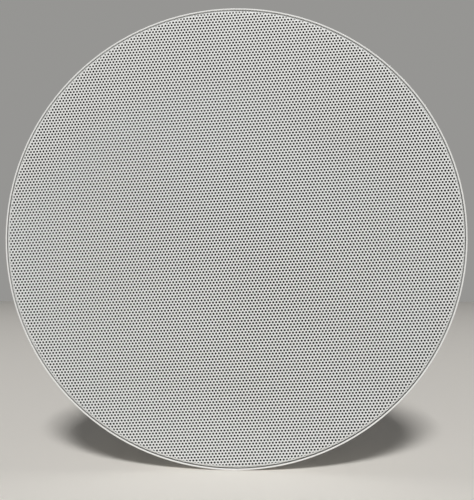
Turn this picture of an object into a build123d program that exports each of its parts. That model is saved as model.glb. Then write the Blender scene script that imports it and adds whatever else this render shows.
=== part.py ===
from build123d import *
import os
from math import ceil, sqrt

# In-ceiling loudspeaker: a 6.5-inch woofer and a swivelling dome tweeter in a moulded ring frame,
# behind a perforated steel grille that magnets hold. Four swing-out dogs clamp it to the ceiling board.
# Millimetres, +Z up. The grille faces -Y and the drivers reach back along +Y.
# The origin is the centre of the flange's back, the face that lies against the ceiling board.
# Depths are measured from that face: negative in the room, positive in the ceiling void.

# Frame
FRAME_DIAMETER = 229.0
FLANGE_WIDTH = 13.5
FLANGE_THICKNESS = 2.6
LIP_WIDTH = 0.8
LIP_HEIGHT = 2.6
LIP_ROUNDING = 0.3
CHANNEL_WIDTH = 7.2
SPIGOT_DEPTH = 9.0
FRAME_WALL = 2.4
BAFFLE_WALL = 2.8
BAFFLE_DEPTH = 11.6
CLAMP_ZONE_WIDTH = 16.3
WOOFER_SEAT_DEPTH = 13.0
WOOFER_SEAT_THICKNESS = 3.0
WOOFER_SEAT_WIDTH = 10.2
RIB_COUNT = 24
RIB_THICKNESS = 1.8
BOSS_DIAMETER = 6.8
BOSS_HEIGHT = 8.0

# Grille, and the perforation drawn at a larger scale with the real share of open area
GRILLE_EDGE_GAP = 0.55
GRILLE_SEAT_GAP = 0.1
GRILLE_SHEET = 0.6
GRILLE_DEPTH = 3.4
GRILLE_BEND_RADIUS = 1.2
PERFORATION_PITCH = 1.6
PERFORATION_HOLE = 1.1
PERFORATION_SCALE = 11.6
PERFORATION_ROW_TILT = 3.0
PERFORATION_MARGIN = 1.5
CLOTH_THICKNESS = 0.4
CLOTH_EDGE_GAP = 0.6
GRILLE_MAGNET_COUNT = 8
GRILLE_MAGNET_DIAMETER = 6.0
GRILLE_MAGNET_THICKNESS = 1.6
GRILLE_MAGNET_MARGIN = 0.4
GLUE_GAP = 0.05

# Woofer
BASKET_CLEARANCE = 0.7
BASKET_SHEET = 1.4
BASKET_RIM_WIDTH = 11.6
BASKET_DEPTH = 41.4
BASKET_LEDGE_DEPTH = 32.0
BASKET_LEDGE_WIDTH = 6.0
BASKET_BASE_DIAMETER = 85.0
BASKET_BEND_RADIUS = 1.5
BASKET_WINDOW_COUNT = 12
BASKET_WINDOW_WIDTH = 21.0
BASKET_WINDOW_MARGIN = 4.5
BASKET_WINDOW_TAPER = 5.0
BASKET_WINDOW_CORNER = 3.0
GASKET_THICKNESS = 1.0
WOOFER_SCREW_COUNT = 6
WOOFER_SCREW_EDGE = 4.0
SURROUND_THICKNESS = 0.7
SURROUND_LANDING = 3.0
SURROUND_ROLL_RADIUS = 5.5
CONE_THICKNESS = 0.9
CONE_LANDING = 2.8
CONE_DEPTH = 25.4
CONE_FLARE = 2.6
DUST_CAP_DIAMETER = 41.0
DUST_CAP_HEIGHT = 5.5
DUST_CAP_THICKNESS = 0.6
COIL_BORE = 30.0
FORMER_WALL = 0.22
COIL_THICKNESS = 0.55
COIL_HEIGHT = 9.5
COIL_GAP = 0.6
FORMER_TAIL = 0.5
JOINING_GAP = 0.15
SPIDER_THICKNESS = 0.6
SPIDER_WAVES = 5
SPIDER_WAVE_HEIGHT = 1.3
SPIDER_COLLAR = 1.5
TOP_PLATE_DIAMETER = 80.0
TOP_PLATE_THICKNESS = 5.0
RING_MAGNET_DIAMETER = 90.0
RING_MAGNET_BORE = 41.0
RING_MAGNET_THICKNESS = 16.0
RING_MAGNET_EDGE = 1.0
YOKE_DIAMETER = 80.0
YOKE_THICKNESS = 5.0
POLE_VENT_DIAMETER = 9.0
POLE_VENT_FLARE = 1.5

# Screws
SCREW_HEAD_DIAMETER = 5.6
SCREW_HEAD_HEIGHT = 2.4
SCREW_SHANK_DIAMETER = 2.8
SCREW_HOLE_CLEARANCE = 0.5
SCREW_PILOT_CLEARANCE = 0.05
SCREW_BITE = 7.0
DRIVE_SLOT_WIDTH = 0.9
DRIVE_SLOT_DEPTH = 1.3

# Tweeter
TWEETER_PIVOT_DEPTH = 6.0
BALL_DIAMETER = 37.0
CUP_FRONT_REACH = 5.0
CUP_BACK_REACH = 10.5
CUP_BORE = 28.8
CUP_BACK_WALL = 1.9
CUP_RECESS_WALL = 1.5
FACEPLATE_THICKNESS = 1.45
FACEPLATE_CLEARANCE = 0.3
FACEPLATE_GAP = 0.1
DOME_DIAMETER = 23.8
DOME_HEIGHT = 4.2
DOME_THICKNESS = 0.35
DOME_ROLL_RADIUS = 0.75
DOME_LANDING = 2.2
TWEETER_COIL_THICKNESS = 0.45
TWEETER_COIL_HEIGHT = 4.6
TWEETER_COIL_DROP = 0.3
TWEETER_GAP = 0.5
TWEETER_YOKE_WALL = 1.7
TWEETER_YOKE_BACK = 2.0
TWEETER_POLE_THICKNESS = 2.0
TWEETER_POLE_SETBACK = 3.1
TWEETER_MAGNET_INSET = 1.0
SWIVEL_RING_WALL = 2.6
SWIVEL_RING_HALF_DEPTH = 4.4
SWIVEL_CLEARANCE = 0.3
TRUNNION_DIAMETER = 3.2
TRUNNION_LENGTH = 2.2
TRUNNION_CLEARANCE = 0.1
HUB_WALL = 3.0
HUB_LIP = 1.8
RETAINING_RING_THICKNESS = 1.2
RETAINING_RING_COVER = 1.5
BRIDGE_THICKNESS = 3.6
BRIDGE_HUB_WIDTH = 17.0
BRIDGE_FOOT_WIDTH = 12.0
BRIDGE_POST_LENGTH = 8.0
BRIDGE_FOOT_THICKNESS = 2.4
BRIDGE_CORNER = 1.8
BRIDGE_RIB_THICKNESS = 2.2
BRIDGE_RIB_DEPTH = 3.5
BRIDGE_RIB_END = 6.0

# Crossover
TRAY_POST_SPACING = 48.0
TRAY_POST_DIAMETER = 8.0
TRAY_POST_HEIGHT = 12.0
TRAY_WIDTH = 62.0
TRAY_LENGTH = 50.0
TRAY_WALL = 2.2
TRAY_DROP = 4.0
TRAY_RISE = 8.0
TRAY_SIDE_HEIGHT = 5.5
STANDOFF_DIAMETER = 5.0
STANDOFF_HEIGHT = 3.0
BOARD_THICKNESS = 1.6
BOARD_SIDE_GAP = 1.2
BOARD_FRONT_GAP = 6.0
BOARD_BACK_GAP = 1.0
BOARD_SCREW_INSET = 3.5
INDUCTOR_DIAMETER = 19.0
INDUCTOR_HEIGHT = 13.0
INDUCTOR_FLANGE = 1.4
INDUCTOR_CORE = 8.0
INDUCTOR_WINDING_INSET = 1.2
CAPACITOR_LARGE_DIAMETER = 13.0
CAPACITOR_LARGE_LENGTH = 22.0
CAPACITOR_SMALL_DIAMETER = 10.0
CAPACITOR_SMALL_LENGTH = 18.0
CAPACITOR_ROUNDING = 0.8
RESISTOR_SIZE = 6.4
RESISTOR_LENGTH = 16.0
RESISTOR_GAP = 1.0
PART_SPACING = 2.0

# Speaker terminals
TERMINAL_WIDTH = 26.0
TERMINAL_DEPTH = 14.0
TERMINAL_HEIGHT = 13.0
TERMINAL_SPACING = 12.0
WIRE_HOLE_DIAMETER = 3.2
WIRE_HOLE_DEPTH = 9.0
WIRE_HOLE_HEIGHT = 3.6
BUTTON_WIDTH = 8.0
BUTTON_HEIGHT = 3.8
BUTTON_PROUD = 2.6
BUTTON_CENTRE_HEIGHT = 9.3
BUTTON_TRAVEL = 2.0
BUTTON_COLLAR = 0.6
BUTTON_COLLAR_LENGTH = 4.0
BUTTON_CLEARANCE = 0.3
BUTTON_MOUTH = 1.5

# Clamps
CLAMP_COUNT = 4
CLAMP_FIRST_ANGLE = 45.0
CLAMP_INSET = 10.5
CLAMP_HEAD_DIAMETER = 7.8
CLAMP_HEAD_HEIGHT = 2.6
CLAMP_HEAD_SEAT = 7.0
CLAMP_POCKET_CLEARANCE = 0.4
CLAMP_BOSS_WALL = 1.3
CLAMP_BOSS_BACK = 11.2
CLAMP_SHANK_DIAMETER = 4.4
CLAMP_SHANK_CLEARANCE = 0.2
CLAMP_TIP = 1.5
TOWER_DEPTH = 60.0
TOWER_WALL = 2.6
TOWER_CAP = 3.0
TOWER_CLEARANCE = 0.5
TOWER_SIDE_REACH = 8.0
TOWER_INNER_REACH = 5.5
DOG_END_GAP = 2.0
DOG_WIDTH = 10.4
DOG_LENGTH = 28.0
DOG_TIP_WIDTH = 8.4
DOG_BOSS_LENGTH = 14.0
DOG_ARM_THICKNESS = 7.0
DOG_FOOT_LENGTH = 8.0
DOG_FOOT_DEPTH = 20.0
DOG_WEB_THICKNESS = 2.4
DOG_WEB_DEPTH = 4.0
DOG_BORE_CLEARANCE = 0.15

# Radii that follow from these
frame_r = FRAME_DIAMETER / 2
lip_inner_r = frame_r - LIP_WIDTH
channel_inner_r = lip_inner_r - CHANNEL_WIDTH
grille_r = lip_inner_r - GRILLE_EDGE_GAP
spigot_r = frame_r - FLANGE_WIDTH
pot_inner_r = spigot_r - CLAMP_ZONE_WIDTH
pot_outer_r = pot_inner_r + FRAME_WALL
seat_inner_r = pot_inner_r - WOOFER_SEAT_WIDTH
basket_r = pot_inner_r - BASKET_CLEARANCE
rim_inner_r = basket_r - BASKET_RIM_WIDTH
woofer_screw_r = basket_r - WOOFER_SCREW_EDGE
clamp_r = spigot_r - CLAMP_INSET
roll_outer_r = rim_inner_r
roll_inner_r = roll_outer_r - 2 * SURROUND_ROLL_RADIUS
former_inner_r = COIL_BORE / 2
former_outer_r = former_inner_r + FORMER_WALL
coil_inner_r = former_outer_r + GLUE_GAP
coil_outer_r = coil_inner_r + COIL_THICKNESS
ball_r = BALL_DIAMETER / 2
swivel_inner_r = ball_r + SWIVEL_CLEARANCE
swivel_outer_r = swivel_inner_r + SWIVEL_RING_WALL
hub_bore_r = swivel_outer_r + SWIVEL_CLEARANCE
hub_r = hub_bore_r + HUB_WALL

# Depths that follow from these
flange_front = -FLANGE_THICKNESS
lip_front = flange_front - LIP_HEIGHT
grille_edge = flange_front - GRILLE_SEAT_GAP
grille_front = grille_edge - GRILLE_DEPTH
pot_mouth = flange_front + BAFFLE_DEPTH
seat_back = WOOFER_SEAT_DEPTH + WOOFER_SEAT_THICKNESS
rim_back = WOOFER_SEAT_DEPTH - GASKET_THICKNESS
rim_front = rim_back - BASKET_SHEET
ledge_front = rim_front + BASKET_LEDGE_DEPTH
base_back = rim_front + BASKET_DEPTH
top_plate_back = base_back + TOP_PLATE_THICKNESS
ring_magnet_back = top_plate_back + RING_MAGNET_THICKNESS
neck_depth = rim_front + CONE_DEPTH
cup_front = TWEETER_PIVOT_DEPTH - CUP_FRONT_REACH
cup_back = TWEETER_PIVOT_DEPTH + CUP_BACK_REACH
dome_front = cup_front + FACEPLATE_THICKNESS
dome_seat = dome_front + DOME_THICKNESS
swivel_front = TWEETER_PIVOT_DEPTH - SWIVEL_RING_HALF_DEPTH
swivel_back = TWEETER_PIVOT_DEPTH + SWIVEL_RING_HALF_DEPTH
hub_front = swivel_front - SWIVEL_CLEARANCE
hub_back = swivel_back + SWIVEL_CLEARANCE + HUB_LIP
bridge_back = hub_front + BRIDGE_THICKNESS - RETAINING_RING_THICKNESS
bridge_front = bridge_back - BRIDGE_THICKNESS
tower_cap_front = TOWER_DEPTH - TOWER_CAP
dog_back = tower_cap_front - DOG_END_GAP

# Heights of the crossover, which stands above the woofer
tray_post_z = sqrt(woofer_screw_r**2 - (TRAY_POST_SPACING / 2) ** 2)
tray_front = seat_back + TRAY_POST_HEIGHT
tray_back = tray_front + TRAY_LENGTH
tray_floor = tray_post_z - TRAY_DROP
board_bottom = tray_floor + STANDOFF_HEIGHT
board_top = board_bottom + BOARD_THICKNESS
board_width = TRAY_WIDTH - 2 * (TRAY_WALL + BOARD_SIDE_GAP)
board_front = tray_front + TRAY_WALL + BOARD_FRONT_GAP
board_back = tray_back - BOARD_BACK_GAP
board_length = board_back - board_front
board_middle = (board_front + board_back) / 2
terminal_front = tray_back - TERMINAL_DEPTH
button_chamber_length = BUTTON_COLLAR_LENGTH + BUTTON_TRAVEL + 2 * BUTTON_CLEARANCE


def turned(section):
    """A section drawn with radius across and depth up, turned about the speaker's axis."""
    return revolve(section, Axis.Y)


def slab(outline, front, back):
    """An outline drawn as seen from the front, made solid from one depth to another."""
    return extrude(Plane.XZ.offset(-front) * outline, front - back)


def ring(outer_r, inner_r, front, back):
    """A plain ring about the speaker's axis."""
    return slab(Circle(outer_r) - Circle(inner_r), front, back)


def sheet(path, thickness):
    """A section of even thickness on the back of a path drawn from the axis outwards."""
    return make_face(offset(path, thickness, side=Side.LEFT))


def plate(width, length, bottom, top, x, y):
    """A block that stands between two heights, centred on x and y."""
    return extrude(Plane.XY.offset(bottom) * Pos(x, y) * Rectangle(width, length), top - bottom)


def upright(diameter, bottom, top, x, y):
    """A round post that stands between two heights."""
    return extrude(Plane.XY.offset(bottom) * Pos(x, y) * Circle(diameter / 2), top - bottom)


def across(outline, left, right):
    """An outline drawn as depth and height, made solid from one x to another."""
    return extrude(Plane.YZ.offset(left) * outline, right - left)


def screw(head_diameter, head_height, shank_diameter, shank_length, seat):
    """A pan-head screw on the speaker's axis, its head's underside at the depth of its seat."""
    head = slab(Circle(head_diameter / 2), seat - head_height, seat)
    head = fillet(head.edges().group_by(Axis.Y)[0], head_height / 2.5)
    shank = slab(Circle(shank_diameter / 2), seat, seat + shank_length)
    shank = chamfer(shank.edges().group_by(Axis.Y)[-1], shank_diameter / 5)
    slot = Rectangle(head_diameter * 0.6, DRIVE_SLOT_WIDTH)
    drive = slab(slot + Rot(0, 0, 90) * slot, seat - head_height, seat - head_height + DRIVE_SLOT_DEPTH)
    return head + shank - drive


def woofer_screw_places():
    """The places of the screws round the woofer's rim, as seen from the front."""
    return list(PolarLocations(woofer_screw_r, WOOFER_SCREW_COUNT))


def is_bridge_place(place):
    """Whether a rim screw is one of the two that also hold the tweeter bridge."""
    return abs(place.position.Y) < BRIDGE_FOOT_WIDTH / 2


def clamp_places():
    """The clamps' axes as seen from the front, each turned so that its own x points outwards."""
    return list(PolarLocations(clamp_r, CLAMP_COUNT, CLAMP_FIRST_ANGLE))


def tray_post_places():
    """The two posts that carry the crossover tray, as seen from the front."""
    return [Pos(side * TRAY_POST_SPACING / 2, tray_post_z) for side in (-1, 1)]


def board_screw_places():
    """The four corners where the board is screwed to the tray, as x and y."""
    half_width = board_width / 2 - BOARD_SCREW_INSET
    half_length = board_length / 2 - BOARD_SCREW_INSET
    return [(i * half_width, board_middle + j * half_length) for i in (-1, 1) for j in (-1, 1)]


def baffle_front(radius):
    """The depth of the sloping baffle's front at a radius."""
    return flange_front + BAFFLE_DEPTH * (channel_inner_r - radius) / (channel_inner_r - pot_inner_r)


def baffle_back(radius):
    """The depth of the sloping baffle's back at a radius."""
    return baffle_front(radius) + BAFFLE_WALL


def frame_shell():
    """Lip, groove, flange, spigot, sloping baffle and woofer seat in one section."""
    spigot_inner_r = spigot_r - FRAME_WALL
    section = make_face(
        Polyline(
            (frame_r, lip_front),
            (frame_r, 0),
            (spigot_r, 0),
            (spigot_r, SPIGOT_DEPTH),
            (spigot_inner_r, SPIGOT_DEPTH),
            (spigot_inner_r, baffle_back(spigot_inner_r)),
            (pot_outer_r, baffle_back(pot_outer_r)),
            (pot_outer_r, seat_back),
            (seat_inner_r, seat_back),
            (seat_inner_r, WOOFER_SEAT_DEPTH),
            (pot_inner_r, WOOFER_SEAT_DEPTH),
            (pot_inner_r, pot_mouth),
            (channel_inner_r, flange_front),
            (lip_inner_r, flange_front),
            (lip_inner_r, lip_front),
            close=True,
        )
    )
    lip_corners = section.vertices().group_by(Axis.Y)[0]
    seam_between_ribs = Rot(0, 90 / RIB_COUNT, 0)
    return seam_between_ribs * turned(fillet(lip_corners, min(LIP_ROUNDING, LIP_WIDTH / 2.5)))


def space_before_frame():
    """The space in front of the baffle and in the woofer's opening, grown to the middle of the walls."""
    wall_r = pot_inner_r + FRAME_WALL / 2
    wall_depth = BAFFLE_WALL / 2
    floor = WOOFER_SEAT_DEPTH + WOOFER_SEAT_THICKNESS / 2
    section = make_face(
        Polyline(
            (0, lip_front),
            (channel_inner_r, lip_front),
            (channel_inner_r, flange_front + wall_depth),
            (wall_r, baffle_front(wall_r) + wall_depth),
            (wall_r, floor),
            (0, floor),
            close=True,
        )
    )
    return turned(section)


def frame_rib():
    """One gusset between the spigot and the back of the baffle."""
    outer = spigot_r - FRAME_WALL / 2
    slope = BAFFLE_DEPTH / (channel_inner_r - pot_inner_r)
    start = baffle_front(outer) + BAFFLE_WALL / 2
    inner = outer - (SPIGOT_DEPTH - start) / slope
    side = make_face(Polyline((outer, start), (outer, SPIGOT_DEPTH), (inner, SPIGOT_DEPTH), close=True))
    return extrude(side, RIB_THICKNESS / 2, both=True)


def clamp_tower():
    """An L-shaped guide beside one clamp's axis, and the cap that holds the screw's far end."""
    near = DOG_WIDTH / 2 + TOWER_CLEARANCE
    far = near + TOWER_WALL
    guide = make_face(
        Polyline(
            (-far, -far),
            (TOWER_SIDE_REACH, -far),
            (TOWER_SIDE_REACH, -near),
            (-near, -near),
            (-near, TOWER_INNER_REACH),
            (-far, TOWER_INNER_REACH),
            close=True,
        )
    )
    cap_half = CLAMP_SHANK_DIAMETER / 2 + TOWER_WALL
    cap_corner = Pos((cap_half - far) / 2, (cap_half - far) / 2)
    cap = cap_corner * RectangleRounded(cap_half + far, cap_half + far, TOWER_WALL / 2)
    boss_r = CLAMP_HEAD_DIAMETER / 2 + CLAMP_POCKET_CLEARANCE + CLAMP_BOSS_WALL
    return guide, cap, Circle(boss_r)


def frame_uprights():
    """Clamp towers, screw bosses and crossover posts, each rooted in the middle of the shell's wall."""
    guide, cap, clamp_boss = clamp_tower()
    uprights = []
    for place in clamp_places():
        uprights.append(slab(place * guide, 0, TOWER_DEPTH))
        uprights.append(slab(place * cap, tower_cap_front, TOWER_DEPTH))
        uprights.append(slab(place * clamp_boss, 0, CLAMP_BOSS_BACK))
    for place in woofer_screw_places():
        uprights.append(slab(place * Circle(BOSS_DIAMETER / 2), WOOFER_SEAT_DEPTH, seat_back + BOSS_HEIGHT))
    for place in tray_post_places():
        uprights.append(slab(place * Circle(TRAY_POST_DIAMETER / 2), WOOFER_SEAT_DEPTH, tray_front))
    space = space_before_frame()
    return [upright - space for upright in uprights]


def frame_cuts():
    """Screw holes, screw-head pockets and magnet pockets."""
    pocket = Circle(CLAMP_HEAD_DIAMETER / 2 + CLAMP_POCKET_CLEARANCE)
    shank_hole = Circle(CLAMP_SHANK_DIAMETER / 2 + CLAMP_SHANK_CLEARANCE)
    cuts = []
    for place in clamp_places():
        cuts.append(slab(place * pocket, lip_front, CLAMP_HEAD_SEAT))
        cuts.append(slab(place * shank_hole, CLAMP_HEAD_SEAT, TOWER_DEPTH))
    pilot = Circle(SCREW_SHANK_DIAMETER / 2 + SCREW_PILOT_CLEARANCE)
    for place in woofer_screw_places():
        cuts.append(slab(place * pilot, WOOFER_SEAT_DEPTH, WOOFER_SEAT_DEPTH + SCREW_BITE))
    for place in tray_post_places():
        cuts.append(slab(place * pilot, tray_front - SCREW_BITE, tray_front))
    magnet_pocket = Circle(GRILLE_MAGNET_DIAMETER / 2 + GLUE_GAP)
    pocket_back = flange_front + GRILLE_MAGNET_THICKNESS + GLUE_GAP
    for place in grille_magnet_places():
        cuts.append(slab(place * magnet_pocket, flange_front, pocket_back))
    return cuts


def frame():
    """The white moulded ring that carries everything."""
    ribs = [Rot(0, (k + 0.5) * 360 / RIB_COUNT, 0) * frame_rib() for k in range(RIB_COUNT)]
    return frame_shell() + ribs + frame_uprights() - frame_cuts()


def grille_magnet_places():
    """The magnets under the grille's skirt, as seen from the front."""
    radius = lip_inner_r - GRILLE_MAGNET_MARGIN - GRILLE_MAGNET_DIAMETER / 2
    return list(PolarLocations(radius, GRILLE_MAGNET_COUNT, 180 / GRILLE_MAGNET_COUNT))


def grille_magnets():
    """Disc magnets set flush in the groove's floor."""
    disc = Circle(GRILLE_MAGNET_DIAMETER / 2)
    back = flange_front + GRILLE_MAGNET_THICKNESS
    return [slab(place * disc, flange_front, back) for place in grille_magnet_places()]


def perforation_centres(field_r):
    """Centres of a triangular hole pattern inside a circle."""
    pitch = PERFORATION_PITCH * PERFORATION_SCALE
    row_height = pitch * sqrt(3) / 2
    reach = ceil(field_r / row_height) + 1
    centres = []
    for row in range(-reach, reach + 1):
        for column in range(-reach, reach + 1):
            x = pitch * (column + 0.5 * (row % 2))
            z = row_height * row
            if sqrt(x * x + z * z) < field_r:
                centres.append((x, z))
    return centres


def grille():
    """The perforated steel sheet with its folded skirt."""
    flat_r = grille_r - GRILLE_BEND_RADIUS
    path = JernArc((flat_r, grille_front), (1, 0), GRILLE_BEND_RADIUS, 90)
    path += Line(path @ 1, (grille_r, grille_edge))
    hole_r = PERFORATION_HOLE * PERFORATION_SCALE / 2
    field_r = flat_r - PERFORATION_MARGIN - hole_r
    hole = Circle(hole_r)
    holes = [(Pos(x, z) * hole).wire() for x, z in perforation_centres(field_r)]
    face = Rot(0, 0, PERFORATION_ROW_TILT) * Circle(flat_r).face().make_holes(holes)
    return slab(face, grille_front, grille_front + GRILLE_SHEET) + turned(sheet(path, GRILLE_SHEET))


def grille_cloth():
    """Black acoustic cloth bonded to the back of the grille."""
    radius = grille_r - GRILLE_BEND_RADIUS - CLOTH_EDGE_GAP
    front = grille_front + GRILLE_SHEET
    return slab(Circle(radius), front, front + CLOTH_THICKNESS)


def basket_ledge_r():
    """The outer radius of the ledge that the spider is glued to."""
    return BASKET_BASE_DIAMETER / 2 + BASKET_LEDGE_WIDTH


def woofer_basket():
    """A pressed steel basket: rim, windowed cone, spider ledge and base."""
    base_r = BASKET_BASE_DIAMETER / 2
    base_front = base_back - BASKET_SHEET
    ledge_r = basket_ledge_r()
    path = FilletPolyline(
        (RING_MAGNET_BORE / 2, base_front),
        (base_r, base_front),
        (base_r, ledge_front),
        (ledge_r, ledge_front),
        (rim_inner_r, rim_front),
        (basket_r, rim_front),
        radius=BASKET_BEND_RADIUS,
    )
    solid = turned(make_face(offset(path, BASKET_SHEET, side=Side.LEFT)))
    inner = ledge_r + BASKET_WINDOW_MARGIN
    outer = rim_inner_r - BASKET_WINDOW_MARGIN
    half_outer = BASKET_WINDOW_WIDTH / 2
    half_inner = half_outer - BASKET_WINDOW_TAPER / 2
    corners = [(inner, -half_inner), (outer, -half_outer), (outer, half_outer), (inner, half_inner)]
    window = make_face(Polyline(*corners, close=True))
    window = fillet(window.vertices(), min(BASKET_WINDOW_CORNER, (outer - inner) / 3, half_inner / 2))
    cuts = []
    for k in range(BASKET_WINDOW_COUNT):
        turn = Rot(0, 0, (k + 0.5) * 360 / BASKET_WINDOW_COUNT)
        cuts.append(slab(turn * window, rim_back + BASKET_SHEET, ledge_front + BASKET_SHEET))
    hole = Circle(SCREW_SHANK_DIAMETER / 2 + SCREW_HOLE_CLEARANCE)
    for place in woofer_screw_places():
        cuts.append(slab(place * hole, rim_front, rim_back))
    return solid - cuts


def woofer_gasket():
    """A foam ring between the basket's rim and the frame."""
    outline = Circle(basket_r) - Circle(seat_inner_r)
    for place in woofer_screw_places():
        outline -= place * Circle(SCREW_SHANK_DIAMETER / 2 + SCREW_HOLE_CLEARANCE)
    return slab(outline, rim_back, WOOFER_SEAT_DEPTH)


def woofer_screws():
    """The screws that hold the basket alone."""
    length = WOOFER_SEAT_DEPTH + SCREW_BITE - 1 - rim_front
    one = screw(SCREW_HEAD_DIAMETER, SCREW_HEAD_HEIGHT, SCREW_SHANK_DIAMETER, length, rim_front)
    places = [place for place in woofer_screw_places() if not is_bridge_place(place)]
    return [Pos(place.position.X, 0, place.position.Y) * one for place in places]


def woofer_surround():
    """The rubber half-roll between the cone's edge and the basket's rim."""
    front = rim_front - SURROUND_THICKNESS
    roll_middle = (roll_inner_r + roll_outer_r) / 2
    inner = roll_inner_r - CONE_LANDING
    outer = roll_outer_r + SURROUND_LANDING
    path = Line((inner, front), (roll_inner_r, front))
    path += ThreePointArc(
        (roll_inner_r, front), (roll_middle, front - SURROUND_ROLL_RADIUS), (roll_outer_r, front)
    )
    path += Line((roll_outer_r, front), (outer, front))
    return turned(sheet(path, SURROUND_THICKNESS))


def cone_path():
    """The cone's front from its neck to its flat edge, with a slight flare."""
    neck = (former_outer_r + JOINING_GAP, neck_depth)
    edge_r = roll_inner_r - CONE_LANDING
    middle = ((neck[0] + edge_r) / 2 - CONE_FLARE / 2, (neck[1] + rim_front) / 2 - CONE_FLARE / 2)
    path = ThreePointArc(neck, middle, (edge_r, rim_front))
    path += Line((edge_r, rim_front), (roll_inner_r - JOINING_GAP, rim_front))
    return path


def woofer_cone():
    """The moulded cone with a flat landing for the surround."""
    return turned(sheet(cone_path(), CONE_THICKNESS))


def cone_front(radius):
    """The depth of the cone's front at a radius."""
    probe = Line((radius, rim_front - CONE_DEPTH), (radius, neck_depth + CONE_DEPTH))
    crossing = probe.intersect(cone_path().edges()[0])
    return crossing.vertices()[0].Y


def dust_cap():
    """A shallow dome that closes the cone's neck."""
    edge_r = DUST_CAP_DIAMETER / 2
    edge = cone_front(edge_r) - DUST_CAP_THICKNESS - JOINING_GAP
    crest_r = (edge_r**2 + DUST_CAP_HEIGHT**2) / (2 * DUST_CAP_HEIGHT)
    centre = edge - DUST_CAP_HEIGHT + crest_r
    dome = Pos(0, centre) * (Circle(crest_r) - Circle(crest_r - DUST_CAP_THICKNESS))
    keep = Pos(edge_r / 2, edge - DUST_CAP_HEIGHT / 2) * Rectangle(edge_r, DUST_CAP_HEIGHT)
    return turned(dome & keep)


def coil_middle():
    """The depth of the middle of the magnetic gap."""
    return base_back + TOP_PLATE_THICKNESS / 2


def coil_former():
    """The thin tube that carries the voice coil."""
    back = coil_middle() + COIL_HEIGHT / 2 + FORMER_TAIL
    return ring(former_outer_r, former_inner_r, neck_depth - CONE_THICKNESS, back)


def voice_coil():
    """The winding, centred in the magnetic gap."""
    middle = coil_middle()
    return ring(coil_outer_r, coil_inner_r, middle - COIL_HEIGHT / 2, middle + COIL_HEIGHT / 2)


def woofer_spider():
    """The corrugated cloth disc that centres the coil, glued to the basket's ledge."""
    front = ledge_front - SPIDER_THICKNESS
    start = former_outer_r + JOINING_GAP
    first = start + SPIDER_COLLAR
    last = BASKET_BASE_DIAMETER / 2
    half_wave = (last - first) / (2 * SPIDER_WAVES)
    path = Line((start, front), (first, front))
    for k in range(2 * SPIDER_WAVES):
        left = first + k * half_wave
        swing = SPIDER_WAVE_HEIGHT * (-1 if k % 2 else 1)
        path += ThreePointArc((left, front), (left + half_wave / 2, front + swing), (left + half_wave, front))
    path += Line((last, front), (basket_ledge_r() - BASKET_BEND_RADIUS, front))
    return turned(sheet(path, SPIDER_THICKNESS))


def top_plate():
    """The steel ring that forms the outside of the magnetic gap."""
    return ring(TOP_PLATE_DIAMETER / 2, coil_outer_r + COIL_GAP, base_back, top_plate_back)


def ring_magnet():
    """The ferrite ring."""
    solid = ring(RING_MAGNET_DIAMETER / 2, RING_MAGNET_BORE / 2, top_plate_back, ring_magnet_back)
    circles = solid.edges().filter_by(GeomType.CIRCLE).sort_by(SortBy.RADIUS)
    return chamfer(circles[-2:], RING_MAGNET_EDGE)


def yoke():
    """The steel back plate with its pole, which is bored through to vent the space behind the dust cap."""
    pole_r = former_inner_r - COIL_GAP
    back = ring_magnet_back + YOKE_THICKNESS
    disc = slab(Circle(YOKE_DIAMETER / 2), ring_magnet_back, back)
    disc = chamfer(disc.edges().group_by(Axis.Y)[-1], YOKE_THICKNESS / 4)
    solid = disc + slab(Circle(pole_r), base_back, ring_magnet_back)
    solid -= slab(Circle(POLE_VENT_DIAMETER / 2), base_back, back)
    mouth = solid.edges().group_by(Axis.Y)[-1].sort_by(SortBy.RADIUS)[0]
    return chamfer(mouth, min(POLE_VENT_FLARE, YOKE_THICKNESS / 2))


def bridge_places():
    """The two rim screws that hold the tweeter bridge."""
    return [place for place in woofer_screw_places() if is_bridge_place(place)]


def tweeter_bridge():
    """A bar across the woofer with a hub for the tweeter and a post down to the rim at each end."""
    arm = make_face(
        Polyline(
            (0, -BRIDGE_HUB_WIDTH / 2),
            (woofer_screw_r, -BRIDGE_FOOT_WIDTH / 2),
            (woofer_screw_r, BRIDGE_FOOT_WIDTH / 2),
            (0, BRIDGE_HUB_WIDTH / 2),
            close=True,
        )
    )
    rib_end = roll_inner_r - BRIDGE_RIB_END
    rib = Pos(rib_end / 2, 0) * Rectangle(rib_end, BRIDGE_RIB_THICKNESS)
    foot = RectangleRounded(BRIDGE_POST_LENGTH, BRIDGE_FOOT_WIDTH, BRIDGE_CORNER)
    solid = slab(Circle(hub_r), bridge_front, hub_back)
    for place in bridge_places():
        turn = Rot(0, 0, 0 if place.position.X > 0 else 180)
        solid += slab(turn * arm, bridge_front, bridge_back)
        solid += slab(turn * rib, bridge_back, bridge_back + BRIDGE_RIB_DEPTH)
        solid += slab(place * foot, bridge_front, rim_front)
    well = Circle(SCREW_HEAD_DIAMETER / 2 + SCREW_HOLE_CLEARANCE)
    hole = Circle(SCREW_SHANK_DIAMETER / 2 + SCREW_HOLE_CLEARANCE)
    for place in bridge_places():
        solid -= slab(place * well, bridge_front, rim_front - BRIDGE_FOOT_THICKNESS)
        solid -= slab(place * hole, bridge_front, rim_front)
    solid -= slab(Circle(hub_bore_r), hub_front, hub_back - HUB_LIP)
    solid -= slab(Circle(swivel_inner_r + HUB_LIP / 2), hub_front, hub_back)
    solid -= slab(Circle(hub_r - HUB_WALL / 2), bridge_front, hub_front)
    return solid


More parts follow.
